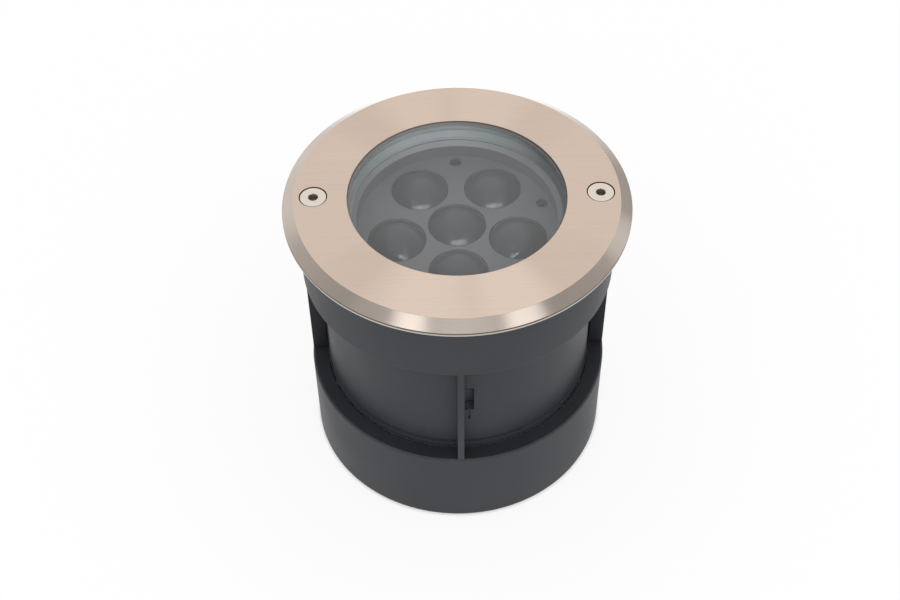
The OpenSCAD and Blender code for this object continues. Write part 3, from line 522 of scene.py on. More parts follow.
def metals(c, g):
    """Ring, screws, inserts and other bare metal.

    Numbers: roughness, lines per metre, relief in metres, and share of the streaks."""
    brush, turned = g["brush"], g["turned"]
    steel, screws = (0.62, 0.61, 0.58), (0.11, 0.11, 0.115)
    # edge is the steel darkened: painted shade for the countersinks and the ring's outer upright wall
    brass, alu, edge = (0.70, 0.50, 0.20), (0.72, 0.73, 0.74), (0.14, 0.127, 0.118)
    return {
        "stainless": worked_metal("brushed stainless", c.stainless, 0.30, brush, 6500.0, 0.000008, 0.03,
                                  lobes=FACE_PAINTED_SHEEN),
        "bevel": worked_metal("turned stainless", c.bevel, 0.13, turned, 7000.0, 0.00001, 0.06),
        "edge": worked_metal("ring edge in painted shade", edge, 0.42, turned, 7000.0, 0.00001, 0.08, toned=EDGE_PAINTED_HIGHLIGHT),
        "screw": worked_metal("screw steel", c.screw, 0.26, brush, 9000.0, 0.000008, 0.05),
        "plain_steel": worked_metal("zinc plated steel", steel, 0.34, brush, 6000.0, 0.00001, 0.08),
        "dark_screw": worked_metal("blackened screws", screws, 0.34, brush, 9000.0, 0.000008, 0.05),
        "brass": worked_metal("turned brass", brass, 0.28, turned, 6000.0, 0.00001, 0.08),
        "alu": worked_metal("turned aluminium", alu, 0.32, turned, 6000.0, 0.00001, 0.06),
    }


def outer_mouldings(c, g):
    """Sleeve, can, mask and screw socket, most of them in the sidebar's colours; the sleeve's inner faces,
    the socket and the can's foot carry painted shade, the mask painted light and shade.

    Numbers: roughness, grain per metre, relief in metres, dust and gloss."""
    # Painted shade: the sleeve's colour darkened for the foot ring's inner faces and the webs' sides
    inside = [v * 0.62 for v in c.sleeve]
    # The socket finish is a dark moulding put into the screws' sockets as painted shade
    socket = (0.16, 0.112, 0.088)
    return {
        "sleeve": dark_moulding("sleeve plastic", c.sleeve, 0.46, g, 1300.0, 0.00004, gloss=0.35),
        "shade": dark_moulding("sleeve plastic in painted shade", inside, 0.6, g, 1300.0, 0.00004, 0.05, 0.16),
        "can": dark_moulding("dark coated casting", c.can, 0.44, g, 900.0, 0.00006, gloss=0.35,
                             toned=CAN_TONES_AND_PAINTED_SHADE),
        "mask": dark_moulding("lens mask plastic", c.mask, 0.50, g, 1800.0, dust=0.0, toned=MASK_PAINTED_LIGHT),
        "socket": dark_moulding("screw socket in painted shade", socket, 0.6, g, 2400.0, 0.00001, dust=0.0, gloss=0.3),
    }


def inner_mouldings(g):
    """Holders, gland, driver, leads and board, which are mostly hidden.

    Numbers: colour, roughness, grain per metre, relief in metres and dust."""
    moulded = {
        "holder": ("lens holder plastic", (0.02, 0.02, 0.02), 0.55, 1800.0, 0.00003, 0.0),
        "gland": ("gland plastic", (0.018, 0.018, 0.019), 0.42, 1600.0, 0.00003, 0.1),
        "driver": ("driver case", (0.05, 0.055, 0.065), 0.5, 1400.0, 0.00003, 0.1),
        "cream": ("cream plastic", (0.62, 0.58, 0.47), 0.4, 1600.0, 0.00002, 0.05),
        "red": ("red insulation", (0.45, 0.03, 0.02), 0.38, 1600.0, 0.00001, 0.05),
        "blue": ("blue insulation", (0.05, 0.10, 0.35), 0.38, 1600.0, 0.00001, 0.05),
        "board": ("white board", (0.72, 0.72, 0.70), 0.36, 2000.0, 0.00001, 0.0),
        "led": ("led package", (0.16, 0.15, 0.12), 0.3, 2000.0, 0.00001, 0.0),
    }
    return {
        key: dark_moulding(name, colour, rough, g, grain, depth, dust)
        for key, (name, colour, rough, grain, depth, dust) in moulded.items()
    }


def soft_and_clear(c, g):
    """Rubber, silicone, glass and lenses."""
    black, grey, pad = (0.024, 0.024, 0.026), (0.20, 0.195, 0.19), (0.22, 0.23, 0.25)
    return {
        "rubber": soft_solid("black rubber", black, 0.5, g),
        "bead": soft_solid("grey bead rubber", grey, 0.5, g, dust=0.0, toned=BEAD_PAINTED_SHADE),
        "pad": soft_solid("grey pad", pad, 0.6, g),
        "silicone": soft_solid("pale silicone", c.silicone, 0.42, g, sub=0.15, dust=0.0, toned=SEAL_PAINTED_LIGHT_AND_SHADE),
        "glass": clear_glass("toughened glass", (0.950, 0.964, 0.970)),
        "lens": smoked_lens("lens plastic", c.lens, g),
    }


LOOKS = {}


def looks():
    """Makes every finish once, from the sidebar's colours."""
    if not LOOKS:
        c = bpy.context.scene.well_light_finish
        g = {
            "grain": group_moulded_grain(),
            "brush": group_straight_brushing(),
            "turned": group_turned_lines(),
            "dust": group_handling_dust(),
        }
        LOOKS.update({**metals(c, g), **outer_mouldings(c, g), **inner_mouldings(g), **soft_and_clear(c, g)})
    return LOOKS


# Settings


class WellLightFinish(PropertyGroup):
    stainless: FloatVectorProperty(
        name="Face Metal", description="Colour of the brushed face ring", subtype="COLOR", size=3,
        default=(0.64, 0.515, 0.43), min=0, max=1)
    bevel: FloatVectorProperty(
        name="Bevel Metal", description="Colour of the turned bevel of the ring", subtype="COLOR", size=3,
        default=(0.63, 0.547, 0.480), min=0, max=1)
    screw: FloatVectorProperty(
        name="Screw Metal", description="Colour of the stainless screws", subtype="COLOR", size=3,
        default=(0.74, 0.66, 0.58), min=0, max=1)
    sleeve: FloatVectorProperty(
        name="Sleeve", description="Colour of the moulded sleeve", subtype="COLOR", size=3,
        default=(0.032, 0.034, 0.040), min=0, max=1)
    can: FloatVectorProperty(
        name="Can", description="Colour of the coated can", subtype="COLOR", size=3,
        default=(0.030, 0.032, 0.038), min=0, max=1)
    mask: FloatVectorProperty(
        name="Lens Mask", description="Colour of the dished mask", subtype="COLOR", size=3,
        default=(0.112, 0.112, 0.116), min=0, max=1)
    silicone: FloatVectorProperty(
        name="Glass Seal", description="Colour of the pale seal under the glass", subtype="COLOR", size=3,
        default=(0.48, 0.52, 0.525), min=0, max=1)
    lens: FloatVectorProperty(
        name="Lenses", description="Colour of the dark polished lenses", subtype="COLOR", size=3,
        default=(0.058, 0.056, 0.061), min=0, max=1)


class WellLightSizes(PropertyGroup):
    face_r: FloatProperty(
        name="Face Radius", description="Outside radius of the face ring, in mm", default=80, min=70)
    flat_r: FloatProperty(
        name="Flat Radius", description="Where the bevel starts, in mm", default=74.5, min=65)
    opening_r: FloatProperty(
        name="Opening Radius", description="Radius over the glass, in mm", default=50.2, min=40)
    bevel_h: FloatProperty(
        name="Bevel Height", description="Height of the bevel, in mm", default=3.9, min=1)
    sleeve_r: FloatProperty(
        name="Sleeve Radius", description="Outside radius of the sleeve, in mm", default=73.6, min=60)
    sleeve_in_r: FloatProperty(
        name="Sleeve Bore", description="Inside radius of the sleeve, in mm", default=71, min=60)
    guide_r: FloatProperty(
        name="Guide Radius", description="Inside radius of ledge and webs, in mm", default=66.2, min=60)
    collar_h: FloatProperty(
        name="Collar Height", description="Height of the collar, in mm", default=34.4, min=10)
    ring_h: FloatProperty(
        name="Lower Ring Height", description="Height of the lower ring, in mm", default=46.5, min=10)
    shelf_t: FloatProperty(
        name="Shelf Thickness", description="Thickness of the lower ring's shelf, in mm", default=2.6, min=1)
    web_t: FloatProperty(
        name="Web Thickness", description="Thickness of the upright webs, in mm", default=3.2, min=1)
    screw_r: FloatProperty(
        name="Screw Radius", description="Distance of the screws from the axis, in mm", default=65.6, min=40)


class WellLightStage(PropertyGroup):
    lens: FloatProperty(name="Lens", description="Focal length of the camera, in mm", default=57.51, min=10)
    eye: FloatVectorProperty(
        name="Eye", description="Camera place from the middle of the face", subtype="TRANSLATION",
        unit="LENGTH", size=3, default=(0.0, -0.4699, 0.4586))
    yaw: FloatProperty(
        name="Yaw", description="Turn of the camera to its right", unit="ROTATION",
        default=math.radians(-0.46))
    pitch: FloatProperty(
        name="Pitch", description="Tilt of the camera below level", unit="ROTATION",
        default=math.radians(48.51))
    roll: FloatProperty(
        name="Roll", description="Roll of the camera", unit="ROTATION", default=math.radians(-0.69))
    turn: FloatProperty(
        name="Turn", description="Turn of the camera's frame about the light's axis", unit="ROTATION",
        default=math.radians(-0.95))
    bank: FloatProperty(
        name="Light Bank", description="Radiance of the wide front bank", default=0.5, min=0)
    fill: FloatProperty(
        name="Fill", description="Level of the all round light", default=0.95, min=0)
    gloss: FloatProperty(
        name="Gloss Level", description="Level of the surroundings in reflections", default=0.45, min=0)
    strip: FloatProperty(
        name="Strip Level", description="Level of the narrow light on the lenses", default=7.6, min=0)


# Pieces


class WELLLIGHT_OT_stage(Operator):
    """Sets the camera, the light bank, the all round light and the floor"""

    bl_idname = "well_light.stage"
    bl_label = "Stage"

    # Soft panels that only reflections show: azimuth from the front, height, half width at full level, half
    # width where it has faded, and level
    PANELS = (
        (180, 45, 20, 70, 0.55), (-36, 52, 4, 10.5, 1.17), (47, 50, 5.5, 11.5, 1.00), (2, 36, 14, 40, 0.36),
        (115, 19, 6, 15, 0.27), (-135, 3, 8, 30, 0.24), (135, 3, 8, 26, -0.12), (180, -34, 5, 24, 0.50),
        (180, -34, 12, 50, 0.40), (120, -49, 12, 40, 0.27), (-120, -49, 12, 40, 0.27), (0, -48, 30, 70, 0.20),
        (0, 88, 10, 34, 0.35), (-60, 49, 3, 14, 0.12),
    )

    # A panel of the same kind that only the optic under the glass shows
    UNDER_GLASS = (0, 27, 10, 30, 0.90)

    # The narrow strip that only the optic shows: its middle, the normal of its plane, and in degrees the half
    # length and half height at which it starts to fade and is gone
    STRIP_MIDDLE = direction(5, 44)
    STRIP_NORMAL = direction(185, 46)
    STRIP_LENGTH = (16, 32)
    STRIP_HEIGHT = (3, 6)

    # Lamps of the bank by azimuth in degrees, with their distance, rise, and width and height as angles
    BANK = {"bank_middle": 3.5, "bank_left": -32.5, "bank_right": 39.5}
    BANK_AIM = Vector((0, 0, 0.12))
    BANK_AWAY = 1.5
    BANK_RISE = 41
    BANK_WIDE, BANK_HIGH = 36, 34

    # Camera: sensor width in millimetres, and how near and far it sees in metres
    SENSOR, CLIP = 36, (0.01, 100)

    # Floor: half width in millimetres, gap under the foot, colours, and where the white starts round the foot
    FLOOR_REACH = 4000
    FLOOR_GAP = 0.0004
    FLOOR_COLOURS = (0.955, 0.955, 0.955, 1), (0.965, 0.965, 0.965, 1)
    WHITE_FROM = (0.0725, 0.075)
    WHITE_SHARE = 0.84

    def execute(self, context):
        s = context.scene.well_light_stage
        self.camera(context.scene, s)
        self.world(context.scene, s)
        self.bank(context.scene, s)
        self.floor()
        context.scene.view_settings.view_transform = "Standard"
        return {"FINISHED"}

    def camera(self, scene, s):
        cam = bpy.data.objects.new("camera", bpy.data.cameras.new("camera"))
        scene.collection.objects.link(cam)
        scene.camera = cam
        cam.data.lens, cam.data.sensor_width = s.lens, self.SENSOR
        cam.data.clip_start, cam.data.clip_end = self.CLIP
        level = math.cos(s.pitch)
        ahead = Vector((math.sin(s.yaw) * level, math.cos(s.yaw) * level, -math.sin(s.pitch)))
        right = Vector((math.cos(s.yaw), -math.sin(s.yaw), 0))
        up = right.cross(ahead)
        c, n = math.cos(s.roll), math.sin(s.roll)
        axes = (right * c + up * n, up * c - right * n, -ahead)
        pose = Matrix.Identity(4)
        for i, axis in enumerate(axes):
            pose.col[i][:3] = axis
        pose.col[3][:3] = Vector(s.eye) + Vector((0, 0, TOP * MM))
        cam.matrix_world = Matrix.Rotation(s.turn, 4, "Z") @ pose

    def world(self, scene, s):
        """White for the camera, an even fill for soft light, and panels for reflections."""
        world = bpy.data.worlds.new("pale studio")
        scene.world = world
        world.use_nodes = True
        w = Web(world.node_tree)
        path = w.add("ShaderNodeLightPath").outputs
        way = w.add("ShaderNodeTexCoord").outputs["Generated"]
        shine = s.gloss
        for panel in self.PANELS:
            shine = w.math("ADD", self.panel(w, way, *panel), shine)
        optic = w.math("ADD", self.strip(w, way, s.strip), self.panel(w, way, *self.UNDER_GLASS))
        behind_glass = w.math("MINIMUM", path["Transmission Depth"], 1.0)
        shine = w.math("ADD", w.math("MULTIPLY", optic, behind_glass), shine)
        seen = w.math("MAXIMUM", path["Is Camera Ray"], path["Is Transmission Ray"])
        level = w.math("MULTIPLY", path["Is Glossy Ray"], w.math("SUBTRACT", shine, s.fill))
        level = w.math("ADD", level, s.fill)
        level = w.math("ADD", level, w.math("MULTIPLY", seen, w.math("SUBTRACT", 1.0, level)))
        back = world.node_tree.nodes["Background"]
        w.put(back.inputs["Color"], (1, 1, 1, 1))
        w.put(back.inputs["Strength"], level)
        w.put(world.node_tree.nodes["World Output"].inputs["Surface"], back)

    def panel(self, w, way, azimuth, height, inner, outer, amount):
        """Level of one soft round panel, seen along the ray."""
        return w.cone(w.dot(way, direction(azimuth, height)), inner, outer, amount)

    def strip(self, w, way, amount):
        """Level of the narrow strip, seen along the ray."""
        full, gone = (math.cos(math.radians(a)) for a in self.STRIP_LENGTH)
        along = w.span(w.dot(way, self.STRIP_MIDDLE), gone, full, 0, 1)
        full, gone = (math.sin(math.radians(a)) for a in self.STRIP_HEIGHT)
        off = w.math("ABSOLUTE", w.dot(way, self.STRIP_NORMAL))
        return w.math("MULTIPLY", along, w.span(off, full, gone, amount, 0))

    def bank(self, scene, s):
        for name, azimuth in self.BANK.items():
            data = bpy.data.lights.new(name, "AREA")
            data.shape = "RECTANGLE"
            data.size = 2 * self.BANK_AWAY * math.tan(math.radians(self.BANK_WIDE / 2))
            data.size_y = 2 * self.BANK_AWAY * math.tan(math.radians(self.BANK_HIGH / 2))
            data.energy = s.bank * math.pi * data.size * data.size_y
            lamp = bpy.data.objects.new(name, data)
            lamp.visible_glossy = False
            scene.collection.objects.link(lamp)
            back = direction(azimuth, self.BANK_RISE)
            lamp.location = self.BANK_AIM + back * self.BANK_AWAY
            lamp.rotation_mode = "QUATERNION"
            lamp.rotation_quaternion = (-back).to_track_quat("-Z", "Y")

    def floor(self):
        """A pale floor that keeps the shadow, whitened for the camera and open from below."""
        bm = bmesh.new()
        bmesh.ops.create_grid(bm, x_segments=8, y_segments=8, size=self.FLOOR_REACH)
        obj = new_object("floor", bm)
        obj.location.z = -self.FLOOR_GAP
        m, w, s = material("pale floor", Roughness=0.9, Specular_IOR_Level=0.0)
        w.put(s.inputs["Base Color"], w.mix(w.noise(w.place(), 3.0), *self.FLOOR_COLOURS))
        white = w.add("ShaderNodeEmission", {"Color": (1, 1, 1, 1), "Strength": 1.0})
        round_foot = w.span(w.length(w.place()), *self.WHITE_FROM, 0.0, self.WHITE_SHARE)
        camera = w.add("ShaderNodeLightPath").outputs["Is Camera Ray"]
        above = w.blend(w.math("MULTIPLY", camera, round_foot), s, white)
        below = w.add("ShaderNodeBsdfTransparent")
        show(m, w, w.blend(w.add("ShaderNodeNewGeometry").outputs["Backfacing"], above, below))
        obj.data.materials.append(m)
        obj.visible_glossy = False


class WELLLIGHT_OT_face_ring(Operator):
    """Turns the face ring with fine edges and sinks its two screw holes"""

    bl_idname = "well_light.face_ring"
    bl_label = "Face Ring"

    # Recess for the rim seal, rebate for the glass, and plate over the glass
    RECESS_R, RECESS_H = 74.2, 0.8
    REBATE_R, PLATE_T = 57.25, 2

    # Screw hole, its cone for the head and the fine chamfer at the face, with the overruns of the cut
    HOLE_R, HEAD_R = 3.25, 6.4
    CONE_DEPTH, CONE_H = 0.65, 3.15
    CHAMFER, PAST_CHAMFER = 0.12, 0.1
    OVERRUN = 1
    SEGMENTS, HOLE_SEGMENTS = 256, 96

    # Roundings of the outer edges, of the bend to the bevel and of the opening's low edge
    EDGE, BEND, LOW_EDGE = 0.2, 0.4, 0.12

    # Margins for telling the faces of the hole, the outer edge and the opening's wall, and how far a face of
    # the hole or the bevel looks up at most
    NEAR_HOLE, BELOW_BEVEL, NEAR_WALL, WALL_TOP = 0.2, 0.1, 0.08, 0.3
    HOLE_LEVEL, BEVEL_LEVEL = 0.99, 0.985

    def execute(self, context):
        z = context.scene.well_light_sizes
        under, plate = RIM + self.RECESS_H, TOP - self.PLATE_T
        ring = lathe("face_ring_skin", [
            (z.opening_r, TOP, self.EDGE), (z.flat_r, TOP, self.BEND),
            (z.face_r, TOP - z.bevel_h, self.EDGE), (z.face_r, RIM, self.EDGE),
            (self.RECESS_R, RIM, 0), (self.RECESS_R, under, 0), (self.REBATE_R, under, 0),
            (self.REBATE_R, plate, 0), (z.opening_r, plate, self.LOW_EDGE),
        ], self.SEGMENTS)
        cut(ring, *(self.hole(side * z.screw_r) for side in (-1, 1)))
        dress(ring, looks()["stainless"], LAMP, ["face_ring"])
        finishes = ["stainless", "bevel", "edge", "bead"]
        for finish in finishes[1:]:
            ring.data.materials.append(looks()[finish])
        for p in ring.data.polygons:
            p.material_index = finishes.index(self.finish(z, p.center / MM, p.normal.z))
        return {"FINISHED"}

    def hole(self, x):
        """Cutter for one countersunk screw hole."""
        cone = TOP - self.CONE_DEPTH
        mouth_r = self.HEAD_R + self.CHAMFER + self.PAST_CHAMFER
        bm = bmesh.new()
        lathe_into(bm, [
            (0, RIM - self.OVERRUN), (self.HOLE_R, RIM - self.OVERRUN), (self.HOLE_R, cone - self.CONE_H),
            (self.HEAD_R, cone), (self.HEAD_R, TOP - self.CHAMFER), (mouth_r, TOP + self.PAST_CHAMFER),
            (mouth_r, TOP + self.OVERRUN), (0, TOP + self.OVERRUN),
        ], self.HOLE_SEGMENTS, (x, 0))
        return new_object("sink", bm)

    def finish(self, z, c, upward):
        """Finish of a face of the ring, from its middle in millimetres and how far it looks up."""
        r = math.hypot(c.x, c.y)
        near_hole = math.hypot(abs(c.x) - z.screw_r, c.y) < self.HEAD_R + self.NEAR_HOLE
        low = c.z < TOP - z.bevel_h - self.BELOW_BEVEL
        # The edge finish paints shade into the screw countersinks and onto the outer upright wall
        if r > z.flat_r and low or near_hole and upward < self.HOLE_LEVEL:
            return "edge"
        if r > z.flat_r and upward < self.BEVEL_LEVEL:
            return "bevel"
        if r < z.opening_r + self.NEAR_WALL and c.z < TOP - self.WALL_TOP:
            return "bead"
        return "stainless"


class WELLLIGHT_OT_face_screws(Operator):
    """Makes the two countersunk socket screws with fine edges"""

    bl_idname = "well_light.face_screws"
    bl_label = "Face Screws"

    # Head below the face, head with its cylinder and cone, shank and full length, and their roundings
    BELOW_FACE = 0.25
    HEAD_R, HEAD_EDGE, HEAD_H = 6, 0.4, 3.45
    SHANK_R, LENGTH = 2.95, 16
    TOP_ROUND, CONE_ROUND, END_ROUND = 0.12, 0.1, 0.4

    # Hexagon socket over its corners, its depth, the cone at its mouth, and its turn by side in degrees
    HEX_R, HEX_DEPTH = 2.309, 2.6
    MOUTH_R, MOUTH_DEPTH, MOUTH_OVERRUN, MOUTH_POINT = 2.0, 0.35, 0.15, 0.1
    OVERRUN = 1
    TURNS = {-1: 4, 1: -6}
    SEGMENTS, MOUTH_SEGMENTS = 96, 64

    # Faces within this radius and between these depths get the socket finish, a dark moulding that paints the
    # shade inside the socket
    DULL_R, DULL_TOP, DULL_LOW = 2.35, 0.1, 2.9

    def execute(self, context):
        z = context.scene.well_light_sizes
        top = TOP - self.BELOW_FACE
        both = bmesh.new()
        for side, turn in self.TURNS.items():
            screw = self.screw(top, side * z.screw_r, math.radians(turn))
            both.from_mesh(screw.data)
            drop(screw)
        bmesh.ops.scale(both, vec=(1 / MM,) * 3, verts=both.verts)
        obj = new_object("face_screw_pair", both)
        dress(obj, looks()["screw"], LAMP, ["face_screws"])
        obj.data.materials.append(looks()["socket"])
        for p in obj.data.polygons:
            c = p.center / MM
            out = math.hypot(abs(c.x) - z.screw_r, c.y)
            if out < self.DULL_R and top - self.DULL_LOW < c.z < top - self.DULL_TOP:
                p.material_index = 1
        return {"FINISHED"}

    def screw(self, top, x, turn):
        """One screw, with its socket cut."""
        end = top - self.LENGTH
        bm = bmesh.new()
        lathe_into(bm, rounded_outline([
            (0, top, 0), (self.HEAD_R, top, self.TOP_ROUND),
            (self.HEAD_R, top - self.HEAD_EDGE, self.CONE_ROUND),
            (self.SHANK_R, top - self.HEAD_H, 0), (self.SHANK_R, end, self.END_ROUND), (0, end, 0),
        ]), self.SEGMENTS, (x, 0))
        screw = new_object("screw", bm)
        corners = [turn + k * math.pi / 3 for k in range(6)]
        outline = [(x + self.HEX_R * math.cos(a), self.HEX_R * math.sin(a)) for a in corners]
        mouth = bmesh.new()
        lathe_into(mouth, [
            (0, top - self.MOUTH_DEPTH), (self.MOUTH_R, top - self.MOUTH_DEPTH),
            (self.MOUTH_R + self.MOUTH_DEPTH + self.MOUTH_OVERRUN, top + self.MOUTH_OVERRUN),
            (0, top + self.MOUTH_OVERRUN + self.MOUTH_POINT),
        ], self.MOUTH_SEGMENTS, (x, 0))
        socket = prism("hex", outline, top - self.HEX_DEPTH, top + self.OVERRUN)
        cut(screw, socket, new_object("mouth", mouth))
        return screw


class WELLLIGHT_OT_sleeve(Operator):
    """Builds the moulded sleeve: collar, foot ring, four webs and the ribs"""

    bl_idname = "well_light.sleeve"
    bl_label = "Mounting Sleeve"

    # Ledge below the rim, its thickness and slope, and the lip round the foot
    LEDGE_DROP, LEDGE_T, LEDGE_SLOPE = 15, 5, 5
    LIP_R, LIP_H = 66, 3

    # How far the shelf reaches in past the guide radius, and webs and ribs run into shelf, ledge and foot lip
    SHELF_REACH = 0.5
    LAP, SLIGHT_LAP = 0.4, 0.1

    # Webs: set back from the outside. Ribs: into the wall and out of it
    WEB_BACK = 0.22
    RIB_OUT, RIB_IN = 1, 2.5

    # Roundings of the outside, webs, bore, slope, and seat with shelf, and of the lip's two edges
    ROUND, WEB_ROUND, BORE_ROUND, SLOPE_ROUND, SEAT_ROUND = 0.9, 0.35, 0.4, 0.5, 0.3
    LIP_LOW_ROUND, LIP_HIGH_ROUND = 0.4, 0.6

    # The painted shade, a darker copy of the sleeve plastic, starts this far inside the outer rounding, and
    # on webs where a face looks out less
    PAST_ROUND, FACES_OUT = 0.05, 0.6

    # Holes for the conduit bushes: azimuths from X, radius, and the cutter from and to these radii
    ENTRIES = (50, 130)
    ENTRY_R, ENTRY_FROM, ENTRY_TO = 12.8, 60, 90
    COLLAR_SEGMENTS, RING_SEGMENTS, ENTRY_SEGMENTS = 224, 288, 72

    def execute(self, context):
        z = context.scene.well_light_sizes
        seat = RIM - self.LEDGE_DROP
        shelf = z.ring_h - z.shelf_t
        self.collar(z, seat)
        self.foot_ring(z, shelf)
        for i in range(4):
            self.web(z, i, seat)
            self.rib(z, i, shelf)
        for side in ("right", "left"):
            dress(nodes[f"conduit_bush_{side}"], looks()["gland"])
        return {"FINISHED"}

    def collar(self, z, seat):
        low, ledge = SLEEVE_TOP - z.collar_h, seat - self.LEDGE_T
        collar = lathe("collar_skin", [
            (z.sleeve_in_r, SLEEVE_TOP, self.BORE_ROUND), (z.sleeve_r, SLEEVE_TOP, self.ROUND),
            (z.sleeve_r, low, self.ROUND), (z.sleeve_in_r, low, self.BORE_ROUND),
            (z.sleeve_in_r, ledge - self.LEDGE_SLOPE, self.SLOPE_ROUND), (z.guide_r, ledge, self.SLOPE_ROUND),
            (z.guide_r, seat, self.BORE_ROUND), (z.sleeve_in_r, seat, self.SEAT_ROUND),
        ], self.COLLAR_SEGMENTS)
        self.plastic(collar, "sleeve_collar")

    def foot_ring(self, z, shelf):
        inner = z.guide_r - self.SHELF_REACH
        ring = lathe("foot_ring_skin", [
            (inner, z.ring_h, self.SEAT_ROUND), (z.sleeve_r, z.ring_h, self.ROUND),
            (z.sleeve_r, 0, self.ROUND), (self.LIP_R, 0, self.LIP_LOW_ROUND),
            (self.LIP_R, self.LIP_H, self.LIP_HIGH_ROUND),
            (z.sleeve_in_r, self.LIP_H, self.SLOPE_ROUND), (z.sleeve_in_r, shelf, self.SLOPE_ROUND),
            (inner, shelf, self.SEAT_ROUND),
        ], self.RING_SEGMENTS)
        middle = Matrix.Translation((0, 0, (z.ring_h + self.LIP_H) / 2))
        cutters = []
        for azimuth in self.ENTRIES:
            bm = bmesh.new()
            lathe_into(bm, [
                (0, self.ENTRY_FROM), (self.ENTRY_R, self.ENTRY_FROM), (self.ENTRY_R, self.ENTRY_TO),
                (0, self.ENTRY_TO),
            ], self.ENTRY_SEGMENTS)
            turn = Matrix.Rotation(math.radians(azimuth), 4, "Z") @ Matrix.Rotation(math.radians(90), 4, "Y")
            bmesh.ops.transform(bm, matrix=middle @ turn, verts=bm.verts)
            cutters.append(new_object("entry", bm))
        cut(ring, *cutters)
        self.plastic(ring, "sleeve_foot_ring")
        outside = z.sleeve_r - self.ROUND - self.PAST_ROUND
        self.shade(ring, lambda p, out: p.center.to_2d().length / MM < outside)

    def web(self, z, i, seat):
        low = (z.guide_r, -z.web_t / 2, z.ring_h - self.LAP)
        high = (z.sleeve_r - self.WEB_BACK, z.web_t / 2, seat - self.LEDGE_T + self.SLIGHT_LAP)
        web = self.plastic(self.upright(f"web_skin_{i + 1}", low, high, i), "sleeve_webs")
        self.shade(web, lambda p, out: p.normal.dot(out) < self.FACES_OUT)

    def rib(self, z, i, shelf):
        low = (z.sleeve_in_r - self.RIB_IN, -z.web_t / 2, self.LIP_H - self.SLIGHT_LAP)
        high = (z.sleeve_in_r + self.RIB_OUT, z.web_t / 2, shelf + self.LAP)
        self.plastic(self.upright(f"rib_skin_{i + 1}", low, high, i), "sleeve_foot_ring")

    def upright(self, name, low, high, quarter):
        """A rounded block of the sleeve, turned to its quarter."""
        bm = bmesh.new()
        bevelled_box(bm, low, high, self.WEB_ROUND, math.radians(90 * quarter))
        return new_object(name, bm)

    def plastic(self, obj, node):
        return dress(obj, looks()["sleeve"], SLEEVE, [node])

    def shade(self, obj, chosen):
        """Gives the faces that the test chooses the darker copy of the sleeve plastic, as painted shade."""
        obj.data.materials.append(looks()["shade"])
        for p in obj.data.polygons:
            out = Vector((p.center.x, p.center.y, 0)).normalized()
            if chosen(p, out):
                p.material_index = 1


class WELLLIGHT_OT_glazing(Operator):
    """Finishes the glass, its grey bead and its pale seal"""

    bl_idname = "well_light.glazing"
    bl_label = "Glass and Seals"

    # Glass with its rounded edge, and how far it lies below the face
    GLASS_R, GLASS_T, GLASS_DROP = 56, 8, 2.05
    EDGE_ROUND = 0.6
    SEGMENTS = 192

    def execute(self, context):
        high = TOP - self.GLASS_DROP
        low = high - self.GLASS_T
        disc = lathe("glass_pane", [
            (0, high, 0), (self.GLASS_R, high, self.EDGE_ROUND), (self.GLASS_R, low, self.EDGE_ROUND),
            (0, low, 0),
        ], self.SEGMENTS)
        dress(disc, looks()["glass"], LAMP, ["glass_disc"])
        dress_nodes({"glass_bead": "bead", "glass_seal": "silicone", "rim_seal": "rubber"})
        return {"FINISHED"}


class WELLLIGHT_OT_optic(Operator):
    """Finishes the mask, lenses, holders, LEDs and board under the glass"""

    bl_idname = "well_light.optic"
    bl_label = "Optic"

    # Dome, foot under it, and flange with its width, top and underside below the dome's rim
    LENSES = 6
    DOME_R, DOME_H = 13.3, 7.1
    FOOT_H = 1.95
    FLANGE_W, FLANGE_TOP, FLANGE_LOW = 0.7, 2, 3.4
    DOME_RINGS, SEGMENTS = 28, 96
    LENS_SHARP = math.radians(30)

    def execute(self, context):
        dress_nodes({"lens_mask": "mask", "mask_screws": "dark_screw", "mask_spacers": "alu"})
        floor_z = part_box("lens_1")[1].z / MM - self.DOME_H
        for i in range(1, self.LENSES + 1):
            a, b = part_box(f"lens_{i}")
            centre = ((a.x + b.x) / 2 / MM, (a.y + b.y) / 2 / MM)
            lens = self.lens(f"lens_dome_{i}", centre, floor_z)
            dress(lens, looks()["lens"], LAMP, [f"lens_{i}"])
            dress_nodes({f"lens_holder_{i}": "holder", f"led_{i}": "led"})
        dress_nodes({
            "led_board": "board", "thermal_pad": "pad", "board_connector": "cream", "led_leads": "red",
        })
        return {"FINISHED"}

    def lens(self, name, centre, floor_z):
        """An aspheric domed lens with a flat foot and a thin flange under the mask."""
        shares = [k / self.DOME_RINGS for k in range(self.DOME_RINGS + 1)]
        outline = [(self.DOME_R * t, floor_z + self.DOME_H * (1 - t ** 2)) for t in shares]
        flange_r, under = self.DOME_R + self.FLANGE_W, floor_z - self.FLANGE_LOW
        outline += [(self.DOME_R, floor_z - self.FOOT_H), (flange_r, floor_z - self.FLANGE_TOP),
                    (flange_r, under), (0, under)]
        bm = bmesh.new()
        lathe_into(bm, outline, self.SEGMENTS, centre)
        return new_object(name, bm, self.LENS_SHARP)


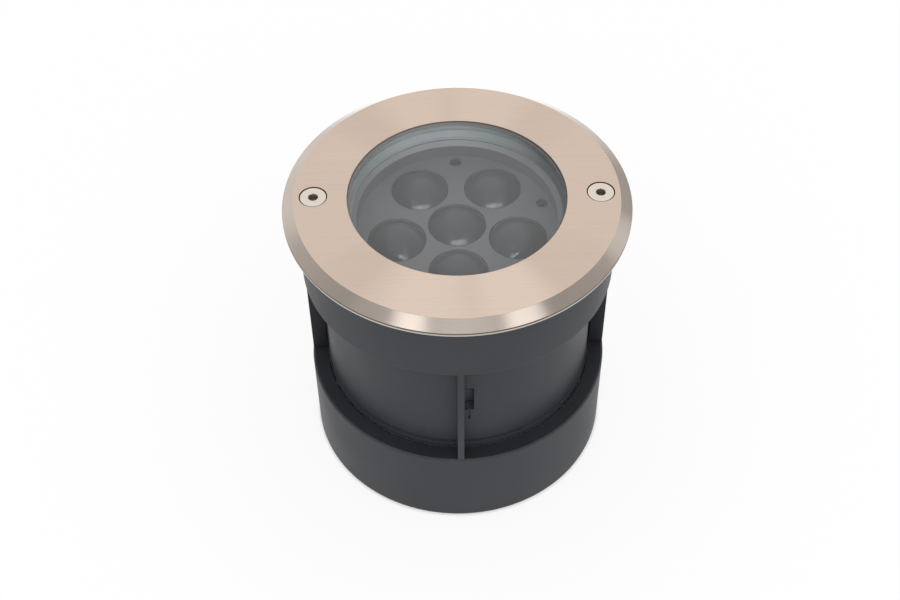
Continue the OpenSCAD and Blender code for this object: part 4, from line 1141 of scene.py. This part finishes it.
class WELLLIGHT_OT_can(Operator):
    """Finishes the cast body and the driver and wiring inside it"""

    bl_idname = "well_light.can"
    bl_label = "Can and Driver"

    def execute(self, context):
        dress_nodes({
            "lamp_body": "can", "thread_inserts": "brass", "driver_module": "driver",
            "driver_screws": "plain_steel", "terminal_block": "cream", "terminal_screw": "plain_steel",
            "supply_leads": "blue", "earth_screw": "brass", "earth_tag": "alu",
        })
        return {"FINISHED"}


class WELLLIGHT_OT_base(Operator):
    """Finishes the base cap with its seal and screws, and the cable gland"""

    bl_idname = "well_light.base"
    bl_label = "Base and Gland"

    def execute(self, context):
        dress_nodes({
            "base_cap": "can", "base_seal": "rubber", "base_screws": "plain_steel",
            "gland_body": "gland", "gland_locknut": "gland", "gland_nut": "gland",
            "gland_washer": "rubber", "gland_insert": "rubber",
        })
        return {"FINISHED"}


STEPS = (
    WELLLIGHT_OT_stage,
    WELLLIGHT_OT_face_ring,
    WELLLIGHT_OT_face_screws,
    WELLLIGHT_OT_sleeve,
    WELLLIGHT_OT_glazing,
    WELLLIGHT_OT_optic,
    WELLLIGHT_OT_can,
    WELLLIGHT_OT_base,
)


class WELLLIGHT_PT_panel(Panel):
    """Lists the sizes, colours and steps"""

    bl_label = "Well Light"
    bl_idname = "WELLLIGHT_PT_panel"
    bl_space_type = "VIEW_3D"
    bl_region_type = "UI"
    bl_category = "Well Light"

    def draw(self, context):
        for group in ("well_light_sizes", "well_light_finish", "well_light_stage"):
            settings = getattr(context.scene, group)
            box = self.layout.box()
            for name in settings.__annotations__:
                box.prop(settings, name)
        for step in STEPS:
            self.layout.operator(step.bl_idname)


CLASSES = (WellLightFinish, WellLightSizes, WellLightStage, *STEPS, WELLLIGHT_PT_panel)


def register():
    for c in CLASSES:
        bpy.utils.register_class(c)
    bpy.types.Scene.well_light_finish = PointerProperty(type=WellLightFinish)
    bpy.types.Scene.well_light_sizes = PointerProperty(type=WellLightSizes)
    bpy.types.Scene.well_light_stage = PointerProperty(type=WellLightStage)


def unregister():
    del bpy.types.Scene.well_light_stage
    del bpy.types.Scene.well_light_sizes
    del bpy.types.Scene.well_light_finish
    for c in reversed(CLASSES):
        bpy.utils.unregister_class(c)


def main():
    register()
    for step in STEPS:
        group, name = step.bl_idname.split(".")
        getattr(getattr(bpy.ops, group), name)()


if __name__ == "__main__":
    main()
